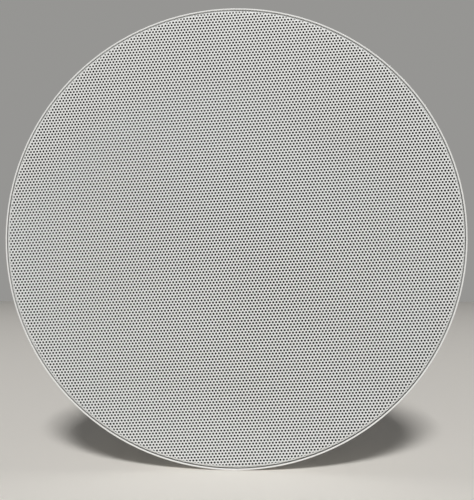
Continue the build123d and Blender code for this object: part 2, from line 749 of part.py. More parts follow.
def bridge_screws():
    """The longer screws that hold the bridge and the basket."""
    seat = rim_front - BRIDGE_FOOT_THICKNESS
    length = WOOFER_SEAT_DEPTH + SCREW_BITE - 1 - seat
    one = screw(SCREW_HEAD_DIAMETER, SCREW_HEAD_HEIGHT, SCREW_SHANK_DIAMETER, length, seat)
    return [Pos(place.position.X, 0, place.position.Y) * one for place in bridge_places()]


def tweeter_retaining_ring():
    """The snap ring that keeps the swivel ring in the hub."""
    outer = hub_r - HUB_WALL / 2 - GLUE_GAP
    inner = swivel_outer_r - RETAINING_RING_COVER
    solid = ring(outer, inner, hub_front - RETAINING_RING_THICKNESS, hub_front)
    return chamfer(solid.edges().group_by(Axis.Y)[0], RETAINING_RING_THICKNESS / 3)


def tweeter_swivel_ring():
    """The ring that turns in the hub and carries the tweeter on two trunnions."""
    solid = ring(swivel_outer_r, swivel_inner_r, swivel_front, swivel_back)
    bearing = Pos(TWEETER_PIVOT_DEPTH, 0) * Circle(TRUNNION_DIAMETER / 2 + TRUNNION_CLEARANCE)
    return solid - across(bearing, -swivel_outer_r, swivel_outer_r)


def tweeter_cup():
    """The ball-shaped tweeter housing with its trunnions."""
    pivot = TWEETER_PIVOT_DEPTH
    front_r = sqrt(ball_r**2 - CUP_FRONT_REACH**2)
    back_r = sqrt(ball_r**2 - CUP_BACK_REACH**2)
    side = ThreePointArc((front_r, cup_front), (ball_r, pivot), (back_r, cup_back))
    recess_r = front_r - CUP_RECESS_WALL
    bore_r = CUP_BORE / 2
    bore_end = cup_back - CUP_BACK_WALL
    rest = Polyline(
        (back_r, cup_back),
        (0, cup_back),
        (0, bore_end),
        (bore_r, bore_end),
        (bore_r, dome_seat),
        (recess_r, dome_seat),
        (recess_r, cup_front),
        (front_r, cup_front),
    )
    solid = turned(make_face(Curve() + [side, rest]))
    pin = Pos(pivot, 0) * Circle(TRUNNION_DIAMETER / 2)
    tip = ball_r + TRUNNION_LENGTH
    for end in (-1, 1):
        solid += across(pin, end * (bore_r + CUP_RECESS_WALL), end * tip)
    return solid


def faceplate_r():
    """The outer radius of what sits in the cup's front recess."""
    return sqrt(ball_r**2 - CUP_FRONT_REACH**2) - CUP_RECESS_WALL - FACEPLATE_GAP


def tweeter_faceplate():
    """The front ring that clamps the dome's edge."""
    opening_r = DOME_DIAMETER / 2 + 2 * DOME_ROLL_RADIUS + FACEPLATE_CLEARANCE
    solid = ring(faceplate_r(), opening_r, cup_front, dome_front)
    inner = solid.edges().filter_by(GeomType.CIRCLE).sort_by(SortBy.RADIUS)[:2]
    return chamfer(inner.sort_by(Axis.Y)[0], FACEPLATE_THICKNESS / 2)


def tweeter_dome():
    """The soft dome with its small roll and the flat edge under the faceplate."""
    dome_r = DOME_DIAMETER / 2
    roll_end = dome_r + 2 * DOME_ROLL_RADIUS
    crest_r = (dome_r**2 + DOME_HEIGHT**2) / (2 * DOME_HEIGHT)
    middle_x = dome_r / 2
    middle = dome_front - DOME_HEIGHT + crest_r - sqrt(crest_r**2 - middle_x**2)
    path = ThreePointArc((0, dome_front - DOME_HEIGHT), (middle_x, middle), (dome_r, dome_front))
    roll_top = (dome_r + DOME_ROLL_RADIUS, dome_front - DOME_ROLL_RADIUS)
    path += ThreePointArc((dome_r, dome_front), roll_top, (roll_end, dome_front))
    path += Line((roll_end, dome_front), (roll_end + DOME_LANDING, dome_front))
    return turned(sheet(path, DOME_THICKNESS))


def tweeter_coil_outer_r():
    """The outside of the tweeter's winding, in line with the dome's edge."""
    return DOME_DIAMETER / 2


def tweeter_coil():
    """The tweeter's winding behind the dome's edge."""
    outer = tweeter_coil_outer_r()
    front = dome_seat + TWEETER_COIL_DROP
    return ring(outer, outer - TWEETER_COIL_THICKNESS, front, front + TWEETER_COIL_HEIGHT)


def tweeter_motor_front():
    """The depth of the front of the tweeter's pole plate and yoke."""
    return cup_front + TWEETER_POLE_SETBACK


def tweeter_yoke_floor():
    """The depth of the inside of the tweeter's yoke."""
    return cup_back - CUP_BACK_WALL - TWEETER_YOKE_BACK


def tweeter_yoke():
    """The steel cup around the tweeter's magnet."""
    inner = tweeter_coil_outer_r() + TWEETER_GAP
    outer = inner + TWEETER_YOKE_WALL
    floor = tweeter_yoke_floor()
    wall = ring(outer, inner, tweeter_motor_front(), floor)
    return wall + slab(Circle(outer), floor, floor + TWEETER_YOKE_BACK)


def tweeter_pole_r():
    """The radius of the tweeter's pole plate."""
    return tweeter_coil_outer_r() - TWEETER_COIL_THICKNESS - TWEETER_GAP


def tweeter_pole_plate():
    """The steel disc in front of the tweeter's magnet."""
    front = tweeter_motor_front()
    return slab(Circle(tweeter_pole_r()), front, front + TWEETER_POLE_THICKNESS)


def tweeter_magnet():
    """The neodymium disc."""
    front = tweeter_motor_front() + TWEETER_POLE_THICKNESS
    return slab(Circle(tweeter_pole_r() - TWEETER_MAGNET_INSET), front, tweeter_yoke_floor())


def crossover_tray():
    """A moulded tray on the frame's two posts: a foot, a floor, two sides and four standoffs."""
    bottom = tray_floor - TRAY_WALL
    middle = (tray_front + tray_back) / 2
    foot_back = tray_front + TRAY_WALL
    solid = plate(TRAY_WIDTH, TRAY_LENGTH, bottom, tray_floor, 0, middle)
    solid += plate(TRAY_WIDTH, TRAY_WALL, bottom, tray_post_z + TRAY_RISE, 0, (tray_front + foot_back) / 2)
    for side in (-1, 1):
        x = side * (TRAY_WIDTH - TRAY_WALL) / 2
        solid += plate(TRAY_WALL, TRAY_LENGTH, bottom, tray_floor + TRAY_SIDE_HEIGHT, x, middle)
    for x, y in board_screw_places():
        solid += upright(STANDOFF_DIAMETER, tray_floor, board_bottom, x, y)
        pilot = SCREW_SHANK_DIAMETER + 2 * SCREW_PILOT_CLEARANCE
        solid -= upright(pilot, bottom, board_bottom, x, y)
    hole = Circle(SCREW_SHANK_DIAMETER / 2 + SCREW_HOLE_CLEARANCE)
    for place in tray_post_places():
        solid -= slab(place * hole, tray_front, foot_back)
    return solid


def tray_screws():
    """The two screws through the tray's foot, driven from behind."""
    length = TRAY_WALL + SCREW_BITE - 1
    one = screw(SCREW_HEAD_DIAMETER, SCREW_HEAD_HEIGHT, SCREW_SHANK_DIAMETER, length, 0)
    turned_round = Rot(180, 0, 0) * one
    seat = tray_front + TRAY_WALL
    return [Pos(place.position.X, seat, place.position.Y) * turned_round for place in tray_post_places()]


def crossover_board():
    """The circuit board."""
    outline = Pos(0, board_middle) * RectangleRounded(board_width, board_length, BOARD_THICKNESS)
    for x, y in board_screw_places():
        outline -= Pos(x, y) * Circle(SCREW_SHANK_DIAMETER / 2 + SCREW_HOLE_CLEARANCE)
    return extrude(Plane.XY.offset(board_bottom) * outline, BOARD_THICKNESS)


def board_screws():
    """The four screws that hold the board to the tray's standoffs."""
    length = BOARD_THICKNESS + STANDOFF_HEIGHT
    one = screw(SCREW_HEAD_DIAMETER, SCREW_HEAD_HEIGHT, SCREW_SHANK_DIAMETER, length, 0)
    standing = Rot(-90, 0, 0) * one
    return [Pos(x, y, board_top) * standing for x, y in board_screw_places()]


def inductor_place():
    """The inductor's axis on the board, as x and y."""
    x = -board_width / 2 + 2 * BOARD_SCREW_INSET + INDUCTOR_DIAMETER / 2
    return x, board_front + PART_SPACING + INDUCTOR_DIAMETER / 2


def inductor_bobbin():
    """The spool of the low-pass coil."""
    x, y = inductor_place()
    top = board_top + INDUCTOR_HEIGHT
    solid = upright(INDUCTOR_CORE, board_top, top, x, y)
    solid += upright(INDUCTOR_DIAMETER, board_top, board_top + INDUCTOR_FLANGE, x, y)
    return solid + upright(INDUCTOR_DIAMETER, top - INDUCTOR_FLANGE, top, x, y)


def inductor_winding():
    """The copper winding on the spool."""
    x, y = inductor_place()
    bottom = board_top + INDUCTOR_FLANGE + GLUE_GAP
    top = board_top + INDUCTOR_HEIGHT - INDUCTOR_FLANGE - GLUE_GAP
    outside = upright(INDUCTOR_DIAMETER - 2 * INDUCTOR_WINDING_INSET, bottom, top, x, y)
    return outside - upright(INDUCTOR_CORE + 2 * GLUE_GAP, bottom, top, x, y)


def capacitor(diameter, length, x, front):
    """A can that lies on the board along the depth."""
    can = slab(Pos(x, board_top + diameter / 2) * Circle(diameter / 2), front, front + length)
    return fillet(can.edges().filter_by(GeomType.CIRCLE), CAPACITOR_ROUNDING)


def capacitor_large_x():
    """The large capacitor lies beside the inductor."""
    return inductor_place()[0] + (INDUCTOR_DIAMETER + CAPACITOR_LARGE_DIAMETER) / 2 + PART_SPACING


def capacitor_large():
    """The tweeter's series capacitor."""
    front = board_front + PART_SPACING
    return capacitor(CAPACITOR_LARGE_DIAMETER, CAPACITOR_LARGE_LENGTH, capacitor_large_x(), front)


def capacitor_small():
    """The woofer's shunt capacitor, clear of the board's corner screw."""
    x = capacitor_large_x() + (CAPACITOR_LARGE_DIAMETER + CAPACITOR_SMALL_DIAMETER) / 2 + PART_SPACING
    front = board_front + 2 * BOARD_SCREW_INSET + PART_SPACING
    return capacitor(CAPACITOR_SMALL_DIAMETER, CAPACITOR_SMALL_LENGTH, x, front)


def resistor():
    """The ceramic power resistor beside the terminals."""
    x = -TERMINAL_WIDTH / 2 - RESISTOR_GAP - RESISTOR_SIZE / 2
    y = board_back - PART_SPACING - RESISTOR_LENGTH / 2
    solid = plate(RESISTOR_SIZE, RESISTOR_LENGTH, board_top, board_top + RESISTOR_SIZE, x, y)
    return chamfer(solid.edges().group_by(Axis.Z)[-1], RESISTOR_SIZE / 10)


def terminal_sides():
    """The two terminals' middles across the block."""
    return (-TERMINAL_SPACING / 2, TERMINAL_SPACING / 2)


def button_outline(x, extra):
    """A button's outline as seen along the depth, grown on every side."""
    middle = Pos(x, board_top + BUTTON_CENTRE_HEIGHT)
    return middle * Rectangle(BUTTON_WIDTH + 2 * extra, BUTTON_HEIGHT + 2 * extra)


def terminal_block():
    """The spring terminal's housing, with a wire hole under each button."""
    middle = (terminal_front + tray_back) / 2
    top = board_top + TERMINAL_HEIGHT
    solid = plate(TERMINAL_WIDTH, TERMINAL_DEPTH, board_top, top, 0, middle)
    solid = fillet(solid.edges().filter_by(Axis.Y).group_by(Axis.Z)[-1], BUTTON_MOUTH)
    wire_hole = Circle(WIRE_HOLE_DIAMETER / 2)
    mouth_front = tray_back - BUTTON_MOUTH
    for x in terminal_sides():
        place = Pos(x, board_top + WIRE_HOLE_HEIGHT)
        solid -= slab(place * wire_hole, tray_back - WIRE_HOLE_DEPTH, tray_back)
        solid -= slab(button_outline(x, BUTTON_CLEARANCE), mouth_front, tray_back)
        chamber = button_outline(x, BUTTON_COLLAR + BUTTON_CLEARANCE)
        solid -= slab(chamber, mouth_front - button_chamber_length, mouth_front)
    return solid


def terminal_button(x):
    """A push button with a collar that keeps it in the block."""
    mouth_front = tray_back - BUTTON_MOUTH
    collar_back = mouth_front - BUTTON_CLEARANCE
    key = slab(button_outline(x, 0), collar_back - BUTTON_COLLAR_LENGTH, tray_back + BUTTON_PROUD)
    key = fillet(key.edges().group_by(Axis.Y)[-1], BUTTON_PROUD / 4)
    return key + slab(button_outline(x, BUTTON_COLLAR), collar_back - BUTTON_COLLAR_LENGTH, collar_back)


def clamp_screw(place):
    """A long screw, turned from the front, that draws its dog towards the ceiling board."""
    length = TOWER_DEPTH + CLAMP_TIP - CLAMP_HEAD_SEAT
    one = screw(CLAMP_HEAD_DIAMETER, CLAMP_HEAD_HEIGHT, CLAMP_SHANK_DIAMETER, length, CLAMP_HEAD_SEAT)
    return Pos(place.position.X, 0, place.position.Y) * one


def clamp_dog(place):
    """A dog folded along the rim: a sleeve on the screw, an arm, and a foot that meets the board."""
    hub = Circle(DOG_WIDTH / 2)
    tip_half = DOG_TIP_WIDTH / 2
    tip_middle = DOG_LENGTH - tip_half
    corners = [(-DOG_WIDTH / 2, 0), (DOG_WIDTH / 2, 0), (tip_half, tip_middle), (-tip_half, tip_middle)]
    arm = make_face(Polyline(*corners, close=True))
    arm = arm + hub + Pos(0, tip_middle) * Circle(tip_half)
    foot_start = DOG_LENGTH - DOG_FOOT_LENGTH
    foot = arm & Pos(0, foot_start + DOG_LENGTH / 2) * Rectangle(DOG_WIDTH, DOG_LENGTH)
    web = Pos(0, foot_start / 2) * Rectangle(DOG_WEB_THICKNESS, foot_start)
    arm_front = dog_back - DOG_ARM_THICKNESS
    solid = slab(place * arm, arm_front, dog_back)
    solid += slab(place * hub, dog_back - DOG_BOSS_LENGTH, dog_back)
    solid += slab(place * foot, dog_back - DOG_FOOT_DEPTH, dog_back)
    solid += slab(place * web, arm_front - DOG_WEB_DEPTH, arm_front)
    bore = Circle(CLAMP_SHANK_DIAMETER / 2 + DOG_BORE_CLEARANCE)
    return solid - slab(place * bore, dog_back - DOG_BOSS_LENGTH, dog_back)


def speaker():
    """Every piece by name; a list is a group of like solids."""
    red_x, black_x = terminal_sides()
    pieces = {
        "grille": grille(),
        "grille_cloth": grille_cloth(),
        "grille_magnets": grille_magnets(),
        "frame": frame(),
        "woofer_gasket": woofer_gasket(),
        "woofer_basket": woofer_basket(),
        "woofer_screws": woofer_screws(),
        "woofer_surround": woofer_surround(),
        "woofer_cone": woofer_cone(),
        "dust_cap": dust_cap(),
        "coil_former": coil_former(),
        "voice_coil": voice_coil(),
        "woofer_spider": woofer_spider(),
        "top_plate": top_plate(),
        "ring_magnet": ring_magnet(),
        "yoke": yoke(),
        "tweeter_bridge": tweeter_bridge(),
        "bridge_screws": bridge_screws(),
        "tweeter_retaining_ring": tweeter_retaining_ring(),
        "tweeter_swivel_ring": tweeter_swivel_ring(),
        "tweeter_cup": tweeter_cup(),
        "tweeter_faceplate": tweeter_faceplate(),
        "tweeter_dome": tweeter_dome(),
        "tweeter_coil": tweeter_coil(),
        "tweeter_pole_plate": tweeter_pole_plate(),
        "tweeter_magnet": tweeter_magnet(),
        "tweeter_yoke": tweeter_yoke(),
        "crossover_tray": crossover_tray(),
        "tray_screws": tray_screws(),
        "crossover_board": crossover_board(),
        "board_screws": board_screws(),
        "inductor_bobbin": inductor_bobbin(),
        "inductor_winding": inductor_winding(),
        "capacitor_large": capacitor_large(),
        "capacitor_small": capacitor_small(),
        "resistor": resistor(),
        "terminal_block": terminal_block(),
        "terminal_button_red": terminal_button(red_x),
        "terminal_button_black": terminal_button(black_x),
    }
    for number, place in enumerate(clamp_places(), start=1):
        pieces[f"clamp_screw_{number}"] = clamp_screw(place)
        pieces[f"clamp_dog_{number}"] = clamp_dog(place)
    return pieces


os.makedirs("parts", exist_ok=True)
for name, piece in speaker().items():
    solids = piece if isinstance(piece, list) else [piece]
    export_step(Compound([solid for item in solids for solid in item.solids()]), f"parts/{name}.step")
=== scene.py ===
from math import ceil, cos, pi, radians, sin, sqrt

import bpy
import numpy as np
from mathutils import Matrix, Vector


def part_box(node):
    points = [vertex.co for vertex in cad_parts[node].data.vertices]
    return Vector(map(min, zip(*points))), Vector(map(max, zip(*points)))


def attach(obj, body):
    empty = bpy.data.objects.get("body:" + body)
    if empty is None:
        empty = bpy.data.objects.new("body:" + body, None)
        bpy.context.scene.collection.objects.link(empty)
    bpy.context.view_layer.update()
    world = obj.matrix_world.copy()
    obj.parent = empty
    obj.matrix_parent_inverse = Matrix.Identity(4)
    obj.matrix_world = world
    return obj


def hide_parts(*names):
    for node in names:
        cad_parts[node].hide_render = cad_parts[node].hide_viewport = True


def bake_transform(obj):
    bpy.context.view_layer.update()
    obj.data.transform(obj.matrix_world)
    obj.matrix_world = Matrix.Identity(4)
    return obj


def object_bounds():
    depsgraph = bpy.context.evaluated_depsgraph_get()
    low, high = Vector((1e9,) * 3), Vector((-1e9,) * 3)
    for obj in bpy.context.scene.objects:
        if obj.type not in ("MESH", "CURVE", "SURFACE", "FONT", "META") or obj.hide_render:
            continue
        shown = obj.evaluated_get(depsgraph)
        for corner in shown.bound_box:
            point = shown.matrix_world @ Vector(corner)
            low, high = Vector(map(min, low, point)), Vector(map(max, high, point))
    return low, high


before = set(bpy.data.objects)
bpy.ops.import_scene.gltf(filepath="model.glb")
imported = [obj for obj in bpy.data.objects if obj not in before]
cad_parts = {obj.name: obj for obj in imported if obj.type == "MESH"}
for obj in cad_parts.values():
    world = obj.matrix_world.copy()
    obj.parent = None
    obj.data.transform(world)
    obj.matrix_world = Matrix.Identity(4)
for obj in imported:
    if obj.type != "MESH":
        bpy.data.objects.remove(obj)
cad_low, cad_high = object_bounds()

# Metres, in the speaker's own frame: the grille faces -Y, +Z is up.
SPEAKER_AXIS = (0, 1, 0)
COIL_AXIS = (0, 0, 1)

# Grille sheet
PERFORATION_PITCH = 0.0016
PERFORATION_HOLE = 0.0011
ROW_HEIGHT = PERFORATION_PITCH * sqrt(3) / 2
ROW_TILT = radians(3.06)
HOLE_NEAR_CENTRE = (0.00071, -0.00049)
HOLE_SIDES = 8
CELL_SIDES = 6
CELL_MERGE = PERFORATION_PITCH / 100
GRILLE_BANDS = 6
BAND_SPARE = 0.5  # of a pair of rows
GRILLE_SHEET = 0.0006
GRILLE_BEND = 0.0012

# Cloth behind the grille
CLOTH_SIDES = 160
CLOTH_RINGS = 6
CLOTH_FOLD = 0.0005
CLOTH_FOLD_RINGS = 4
CLOTH_FOLD_GAP = 0.00004

# Surround of the woofer's cone
SURROUND_THICKNESS = 0.0007
SURROUND_ROLL = 0.0055
SURROUND_ARC_POINTS = 24
SURROUND_LANDING = 0.003
CONE_LANDING = 0.0028

# Spider of the woofer's coil
SPIDER_THICKNESS = 0.0006
SPIDER_WAVES = 5
SPIDER_WAVE_HEIGHT = 0.0013
SPIDER_ARC_POINTS = 8
SPIDER_COLLAR = 0.0015
SPIDER_RIM = 0.0045
SPIDER_GLUE = 0.00015

# Clamp screws
CLAMP_COUNT = 4
CLAMP_HEAD_HEIGHT = 0.0026
CLAMP_HEAD_SIDES = 48
CLAMP_HEAD_ROUND = CLAMP_HEAD_HEIGHT / 2.5
CLAMP_HEAD_ROUND_STEPS = 5
CLAMP_SHANK = 0.0044
THREAD_PITCH = 0.0014
THREAD_DEPTH = 0.00042
THREAD_FLAT = THREAD_PITCH / 8
THREAD_STEPS = 20
DRIVE_SLOT = 0.0009
DRIVE_DEPTH = 0.0013
DRIVE_REACH = 1.2  # of the head's radius

# Low-pass coil
WIRE = 0.0011
WIRE_ARC_POINTS = 6
COIL_CORE = 0.0081
COIL_STEPS = 64

# Leads of the crossover's components
LEAD = 0.0008
LEAD_REACH = 0.0014
LEAD_BEND = 0.0009
LEAD_BEND_POINTS = 6
LEAD_ROUNDNESS = 3

# Ejector marks behind the frame's flange
EJECTOR_PINS = 24
EJECTOR_RADIUS = 0.1078
EJECTOR_MARK = 0.0042
EJECTOR_EDGE = 0.0001

# Shrunk sleeves of the two capacitors
SLEEVE_LIP = 0.0011
SLEEVE_EDGE = 0.00022
STRIPE_PLACE = 0.28  # of the can's width, from its middle
STRIPE_HALF_WIDTH = 0.0011
STRIPE_EDGE = 0.0002

# Meshes
SEED_SIZE = 0.001
SPIN_STEPS = 128
MERGE_DISTANCE = 1e-6
TINY = 1e-9
SMOOTH_ANGLE = 35.0
SCREW_SMOOTH_ANGLE = 40.0
LEAD_SMOOTH_ANGLE = 50.0
PICK_POINTS = (True, False, False)
PICK_EDGES = (False, True, False)
PICK_FACES = (False, False, True)

# Sockets of a Mix node that mixes colours
MIX_SHARE = 0
MIX_FIRST = 6
MIX_SECOND = 7
MIX_RESULT = 2

# Colours of the white and pale pieces
WHITE_PAINT = (0.79, 0.80, 0.79)
WHITE_ABS = (0.80, 0.80, 0.785)
NATURAL_NYLON = (0.74, 0.73, 0.69)
CEMENT_WHITE = (0.72, 0.70, 0.64)

# Colours of the black and grey pieces
BLACK_PLASTIC = (0.022, 0.022, 0.023)
BLACK_STEEL = (0.02, 0.02, 0.021)
BLACK_OXIDE = (0.07, 0.07, 0.072)
BLACK_CLOTH = (0.017, 0.017, 0.018)
BLACK_SILK = (0.03, 0.03, 0.034)
BLACK_RUBBER = (0.022, 0.022, 0.022)
BLACK_FOAM = (0.04, 0.04, 0.04)
BLACK_CONE = (0.035, 0.035, 0.037)
BLACK_CAP = (0.02, 0.02, 0.021)
BLACK_BUTTON = (0.02, 0.02, 0.02)
FERRITE_GREY = (0.055, 0.055, 0.06)
TRAY_GREY = (0.24, 0.24, 0.25)

# Colours of the metals
ZINC = (0.62, 0.60, 0.55)
NICKEL = (0.72, 0.70, 0.66)
TIN = (0.66, 0.66, 0.64)
COPPER = (0.72, 0.36, 0.18)

# Other colours
SPIDER_TAN = (0.60, 0.42, 0.14)
FORMER_AMBER = (0.30, 0.14, 0.04)
RED_BUTTON = (0.52, 0.02, 0.02)
SOLDER_MASK = (0.03, 0.17, 0.06)
SOLDER_PAD = (0.70, 0.62, 0.50)
FILM_YELLOW = (0.50, 0.36, 0.07)
FILM_STRIPE = (0.62, 0.52, 0.25)
FILM_END = (0.42, 0.30, 0.08)
CAN_BLUE = (0.02, 0.03, 0.09)
CAN_STRIPE = (0.55, 0.56, 0.58)
CAN_END = (0.55, 0.55, 0.54)

# Camera, floor and lights
LENS = 52.2
CLIP_START = 0.01
CAMERA_PLACE = (0.022, -0.3623, -0.024)
CAMERA_AIM = (-0.0552, 0.9967, 0.0474)
FLOOR_BACK = 3.5
FLOOR_FRONT = 4.0
FLOOR_HALF_WIDTH = 5.0
FLOOR_WHITE = (0.95, 0.915, 0.855)
WALL_GREY = (0.305, 0.302, 0.292)
WORLD_WHITE = (1.0, 1.0, 1.0)
WORLD_LIGHT = 0.1
KEY_PLACE = (0.15, -6.0, 5.2)
KEY_SIZE = 1.4
KEY_POWER = 490.0
BACK_PLACE = (0.6, 1.3, 1.0)
BACK_SIZE = 0.9
BACK_POWER = 9.0

# The grille's flat face, and the round blank that its face, fold and skirt are drawn from
grille_low, grille_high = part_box("grille")
grille_front = grille_low.y
flat_r = grille_high.x - GRILLE_BEND
blank_r = flat_r + GRILLE_BEND * pi / 2 + (grille_high.y - grille_front - GRILLE_BEND)


class Value:
    """A socket of a node tree. Arithmetic on it adds Math nodes."""

    def __init__(self, nodes, socket):
        self.nodes = nodes
        self.socket = socket

    def __add__(self, other):
        return self.nodes.math("ADD", self, other)

    __radd__ = __add__

    def __sub__(self, other):
        return self.nodes.math("SUBTRACT", self, other)

    def __rsub__(self, other):
        return self.nodes.math("SUBTRACT", other, self)

    def __mul__(self, other):
        return self.nodes.math("MULTIPLY", self, other)

    __rmul__ = __mul__


class Nodes:
    """A node tree that is being built."""

    def __init__(self, owner):
        owner.use_nodes = True
        self.tree = owner.node_tree

    def add(self, kind, inputs=None, output=0, **settings):
        """Adds a node: its settings first, then the values or links of its sockets."""
        node = self.tree.nodes.new(kind)
        for key, value in settings.items():
            setattr(node, key, value)
        for key, value in (inputs or {}).items():
            self.feed(node.inputs[key], value)
        return Value(self, node.outputs[output])

    def split(self, kind, inputs=None):
        """Adds a node and gives all its outputs by name."""
        node = self.add(kind, inputs).socket.node
        return {socket.name: Value(self, socket) for socket in node.outputs}

    def feed(self, socket, value):
        """Links a value to a socket, or sets the socket to a plain number or colour."""
        if isinstance(value, Value):
            self.tree.links.new(value.socket, socket)
        elif isinstance(value, tuple) and socket.type == "RGBA":
            socket.default_value = (*value, 1.0)
        else:
            socket.default_value = value

    def math(self, operation, *values):
        """A Math node on numbers or values."""
        return self.add("ShaderNodeMath", dict(enumerate(values)), operation=operation)


class Finish(Nodes):
    """A material that is being built."""

    def __init__(self, name):
        self.material = bpy.data.materials.new(name)
        super().__init__(self.material)
        self.shader = self.tree.nodes["Principled BSDF"]

    def place(self):
        """The point on the piece, in the speaker's frame."""
        return self.add("ShaderNodeTexCoord", output="Object")

    def axes(self):
        """The point's x, y and z."""
        return list(self.split("ShaderNodeSeparateXYZ", {0: self.place()}).values())

    def radius(self):
        """The distance from the speaker's axis."""
        x, _, z = self.axes()
        return self.math("SQRT", x * x + z * z)

    def point(self, x=0.0, y=0.0, z=0.0):
        """A point put together from values."""
        return self.add("ShaderNodeCombineXYZ", {0: x, 1: y, 2: z})

    def noise(self, size, detail=2.0, vector=None, roughness=0.5):
        """Smooth noise from 0 to 1 with features of a size in metres."""
        inputs = {
            "Vector": vector or self.place(),
            "Scale": 1 / size,
            "Detail": detail,
            "Roughness": roughness,
        }
        return self.add("ShaderNodeTexNoise", inputs)

    def cells(self, size, vector=None, **settings):
        """Cells of a size in metres: the distance to a cell's middle, or to its edge if set so."""
        inputs = {"Vector": vector or self.place(), "Scale": 1 / size}
        return self.add("ShaderNodeTexVoronoi", inputs, **settings)

    def step(self, value, low, high):
        """0 at a level, 1 at another, and smooth between them."""
        inputs = {"Value": value, "From Min": low, "From Max": high}
        return self.add("ShaderNodeMapRange", inputs, interpolation_type="SMOOTHSTEP")

    def waves(self, value, length):
        """A wave from 0 to 1 along a value in metres."""
        return self.math("SINE", value * (2 * pi / length)) * 0.5 + 0.5

    def mix(self, share, first, second):
        """A colour between two colours."""
        inputs = {MIX_SHARE: share, MIX_FIRST: first, MIX_SECOND: second}
        return self.add("ShaderNodeMix", inputs, output=MIX_RESULT, data_type="RGBA")

    def tones(self, share, colour, dark, light):
        """A colour between a darker and a lighter shade of one colour."""
        return self.mix(share, shade(colour, dark), shade(colour, light))

    def bump(self, height, depth, strength):
        """A bumped normal from a height of 0 to 1 and its depth in metres."""
        inputs = {"Height": height, "Distance": depth, "Strength": strength}
        self.feed(self.shader.inputs["Normal"], self.add("ShaderNodeBump", inputs))

    def set(self, **sockets):
        """Sets the shader's sockets by name, with _ for a space."""
        for key, value in sockets.items():
            self.feed(self.shader.inputs[key.replace("_", " ")], value)


def shade(colour, factor):
    """A lighter or darker colour."""
    return tuple(min(1.0, level * factor) for level in colour)


def powder_coat(name, colour):
    """Sprayed and baked paint on steel: a fine orange peel and a faint cloudiness."""
    f = Finish(name)
    cloud = f.noise(size=0.06, detail=3.0)
    gloss = f.noise(size=0.004, detail=3.0)
    f.set(
        Base_Color=f.tones(cloud, colour, dark=0.97, light=1.02),
        Roughness=gloss * 0.12 + 0.36,
        Specular_IOR_Level=0.45,
    )
    f.bump(f.noise(size=0.0006), depth=0.00003, strength=0.5)
    return f.material


def moulded(name, colour, roughness, grain=0.0004, flow=0.05):
    """Injection-moulded plastic: spark-eroded grain, faint flow marks and uneven gloss."""
    f = Finish(name)
    marks = f.noise(size=flow, detail=4.0, roughness=0.6)
    speckle = f.noise(size=grain, detail=3.0)
    tone = f.tones(marks, colour, dark=0.94, light=1.04)
    f.set(
        Base_Color=f.mix(speckle * 0.25, tone, shade(colour, 0.88)),
        Roughness=marks * 0.10 + speckle * 0.08 + (roughness - 0.09),
        Specular_IOR_Level=0.45,
    )
    f.bump(speckle, depth=0.00002, strength=0.6)
    return f.material


def moulded_ring(name, colour):
    """The frame's white plastic: fine grain, and round ejector marks behind its flange."""
    f = Finish(name)
    x, y, z = f.axes()
    turn = f.math("ARCTAN2", z, x) * (EJECTOR_PINS / (2 * pi))
    beside = (f.math("FRACT", turn) - 0.5) * (2 * pi * EJECTOR_RADIUS / EJECTOR_PINS)
    outward = f.radius() - EJECTOR_RADIUS
    distance = f.math("SQRT", beside * beside + outward * outward)
    behind = f.step(y, -EJECTOR_MARK, 0.0)
    pin = f.step(distance, EJECTOR_MARK / 2, EJECTOR_MARK / 2 - EJECTOR_EDGE) * behind
    marks = f.noise(size=0.05, detail=4.0, roughness=0.6)
    speckle = f.noise(size=0.0004, detail=3.0)
    tone = f.tones(marks, colour, dark=0.95, light=1.03)
    f.set(
        Base_Color=f.mix(speckle * 0.2 + pin * 0.3, tone, shade(colour, 0.88)),
        Roughness=marks * 0.10 + speckle * 0.08 + (0.37 - pin * 0.08),
        Specular_IOR_Level=0.45,
    )
    f.bump(speckle * 0.1 + (1 - pin) * 0.9, depth=0.0002, strength=0.6)
    return f.material


def plated(name, colour, roughness, turned_marks=False):
    """Plated or blackened metal: cloudy, with small dull spots, and lathe marks on turned pieces."""
    f = Finish(name)
    cloud = f.noise(size=0.009, detail=4.0, roughness=0.65)
    spots = f.step(f.cells(size=0.0031), 0.02, 0.14)
    if turned_marks:
        grain = f.noise(size=0.00045, vector=f.point(x=f.radius()))
    else:
        grain = f.noise(size=0.00035)
    tone = f.tones(cloud, colour, dark=0.78, light=1.12)
    f.set(
        Base_Color=f.mix(spots, shade(colour, 0.8), tone),
        Metallic=1.0,
        Roughness=cloud * 0.16 + grain * 0.14 + (roughness - 0.15),
    )
    f.bump(grain, depth=0.00002, strength=0.35)
    return f.material


def black_paint(name, colour):
    """Electro-coat on pressed steel: semi-gloss with orange peel."""
    f = Finish(name)
    cloud = f.noise(size=0.02, detail=3.0)
    f.set(
        Base_Color=f.tones(cloud, colour, dark=0.75, light=1.5),
        Roughness=cloud * 0.12 + 0.26,
        Coat_Weight=cloud * 0.25,
    )
    f.bump(f.noise(size=0.0011), depth=0.00004, strength=0.45)
    return f.material


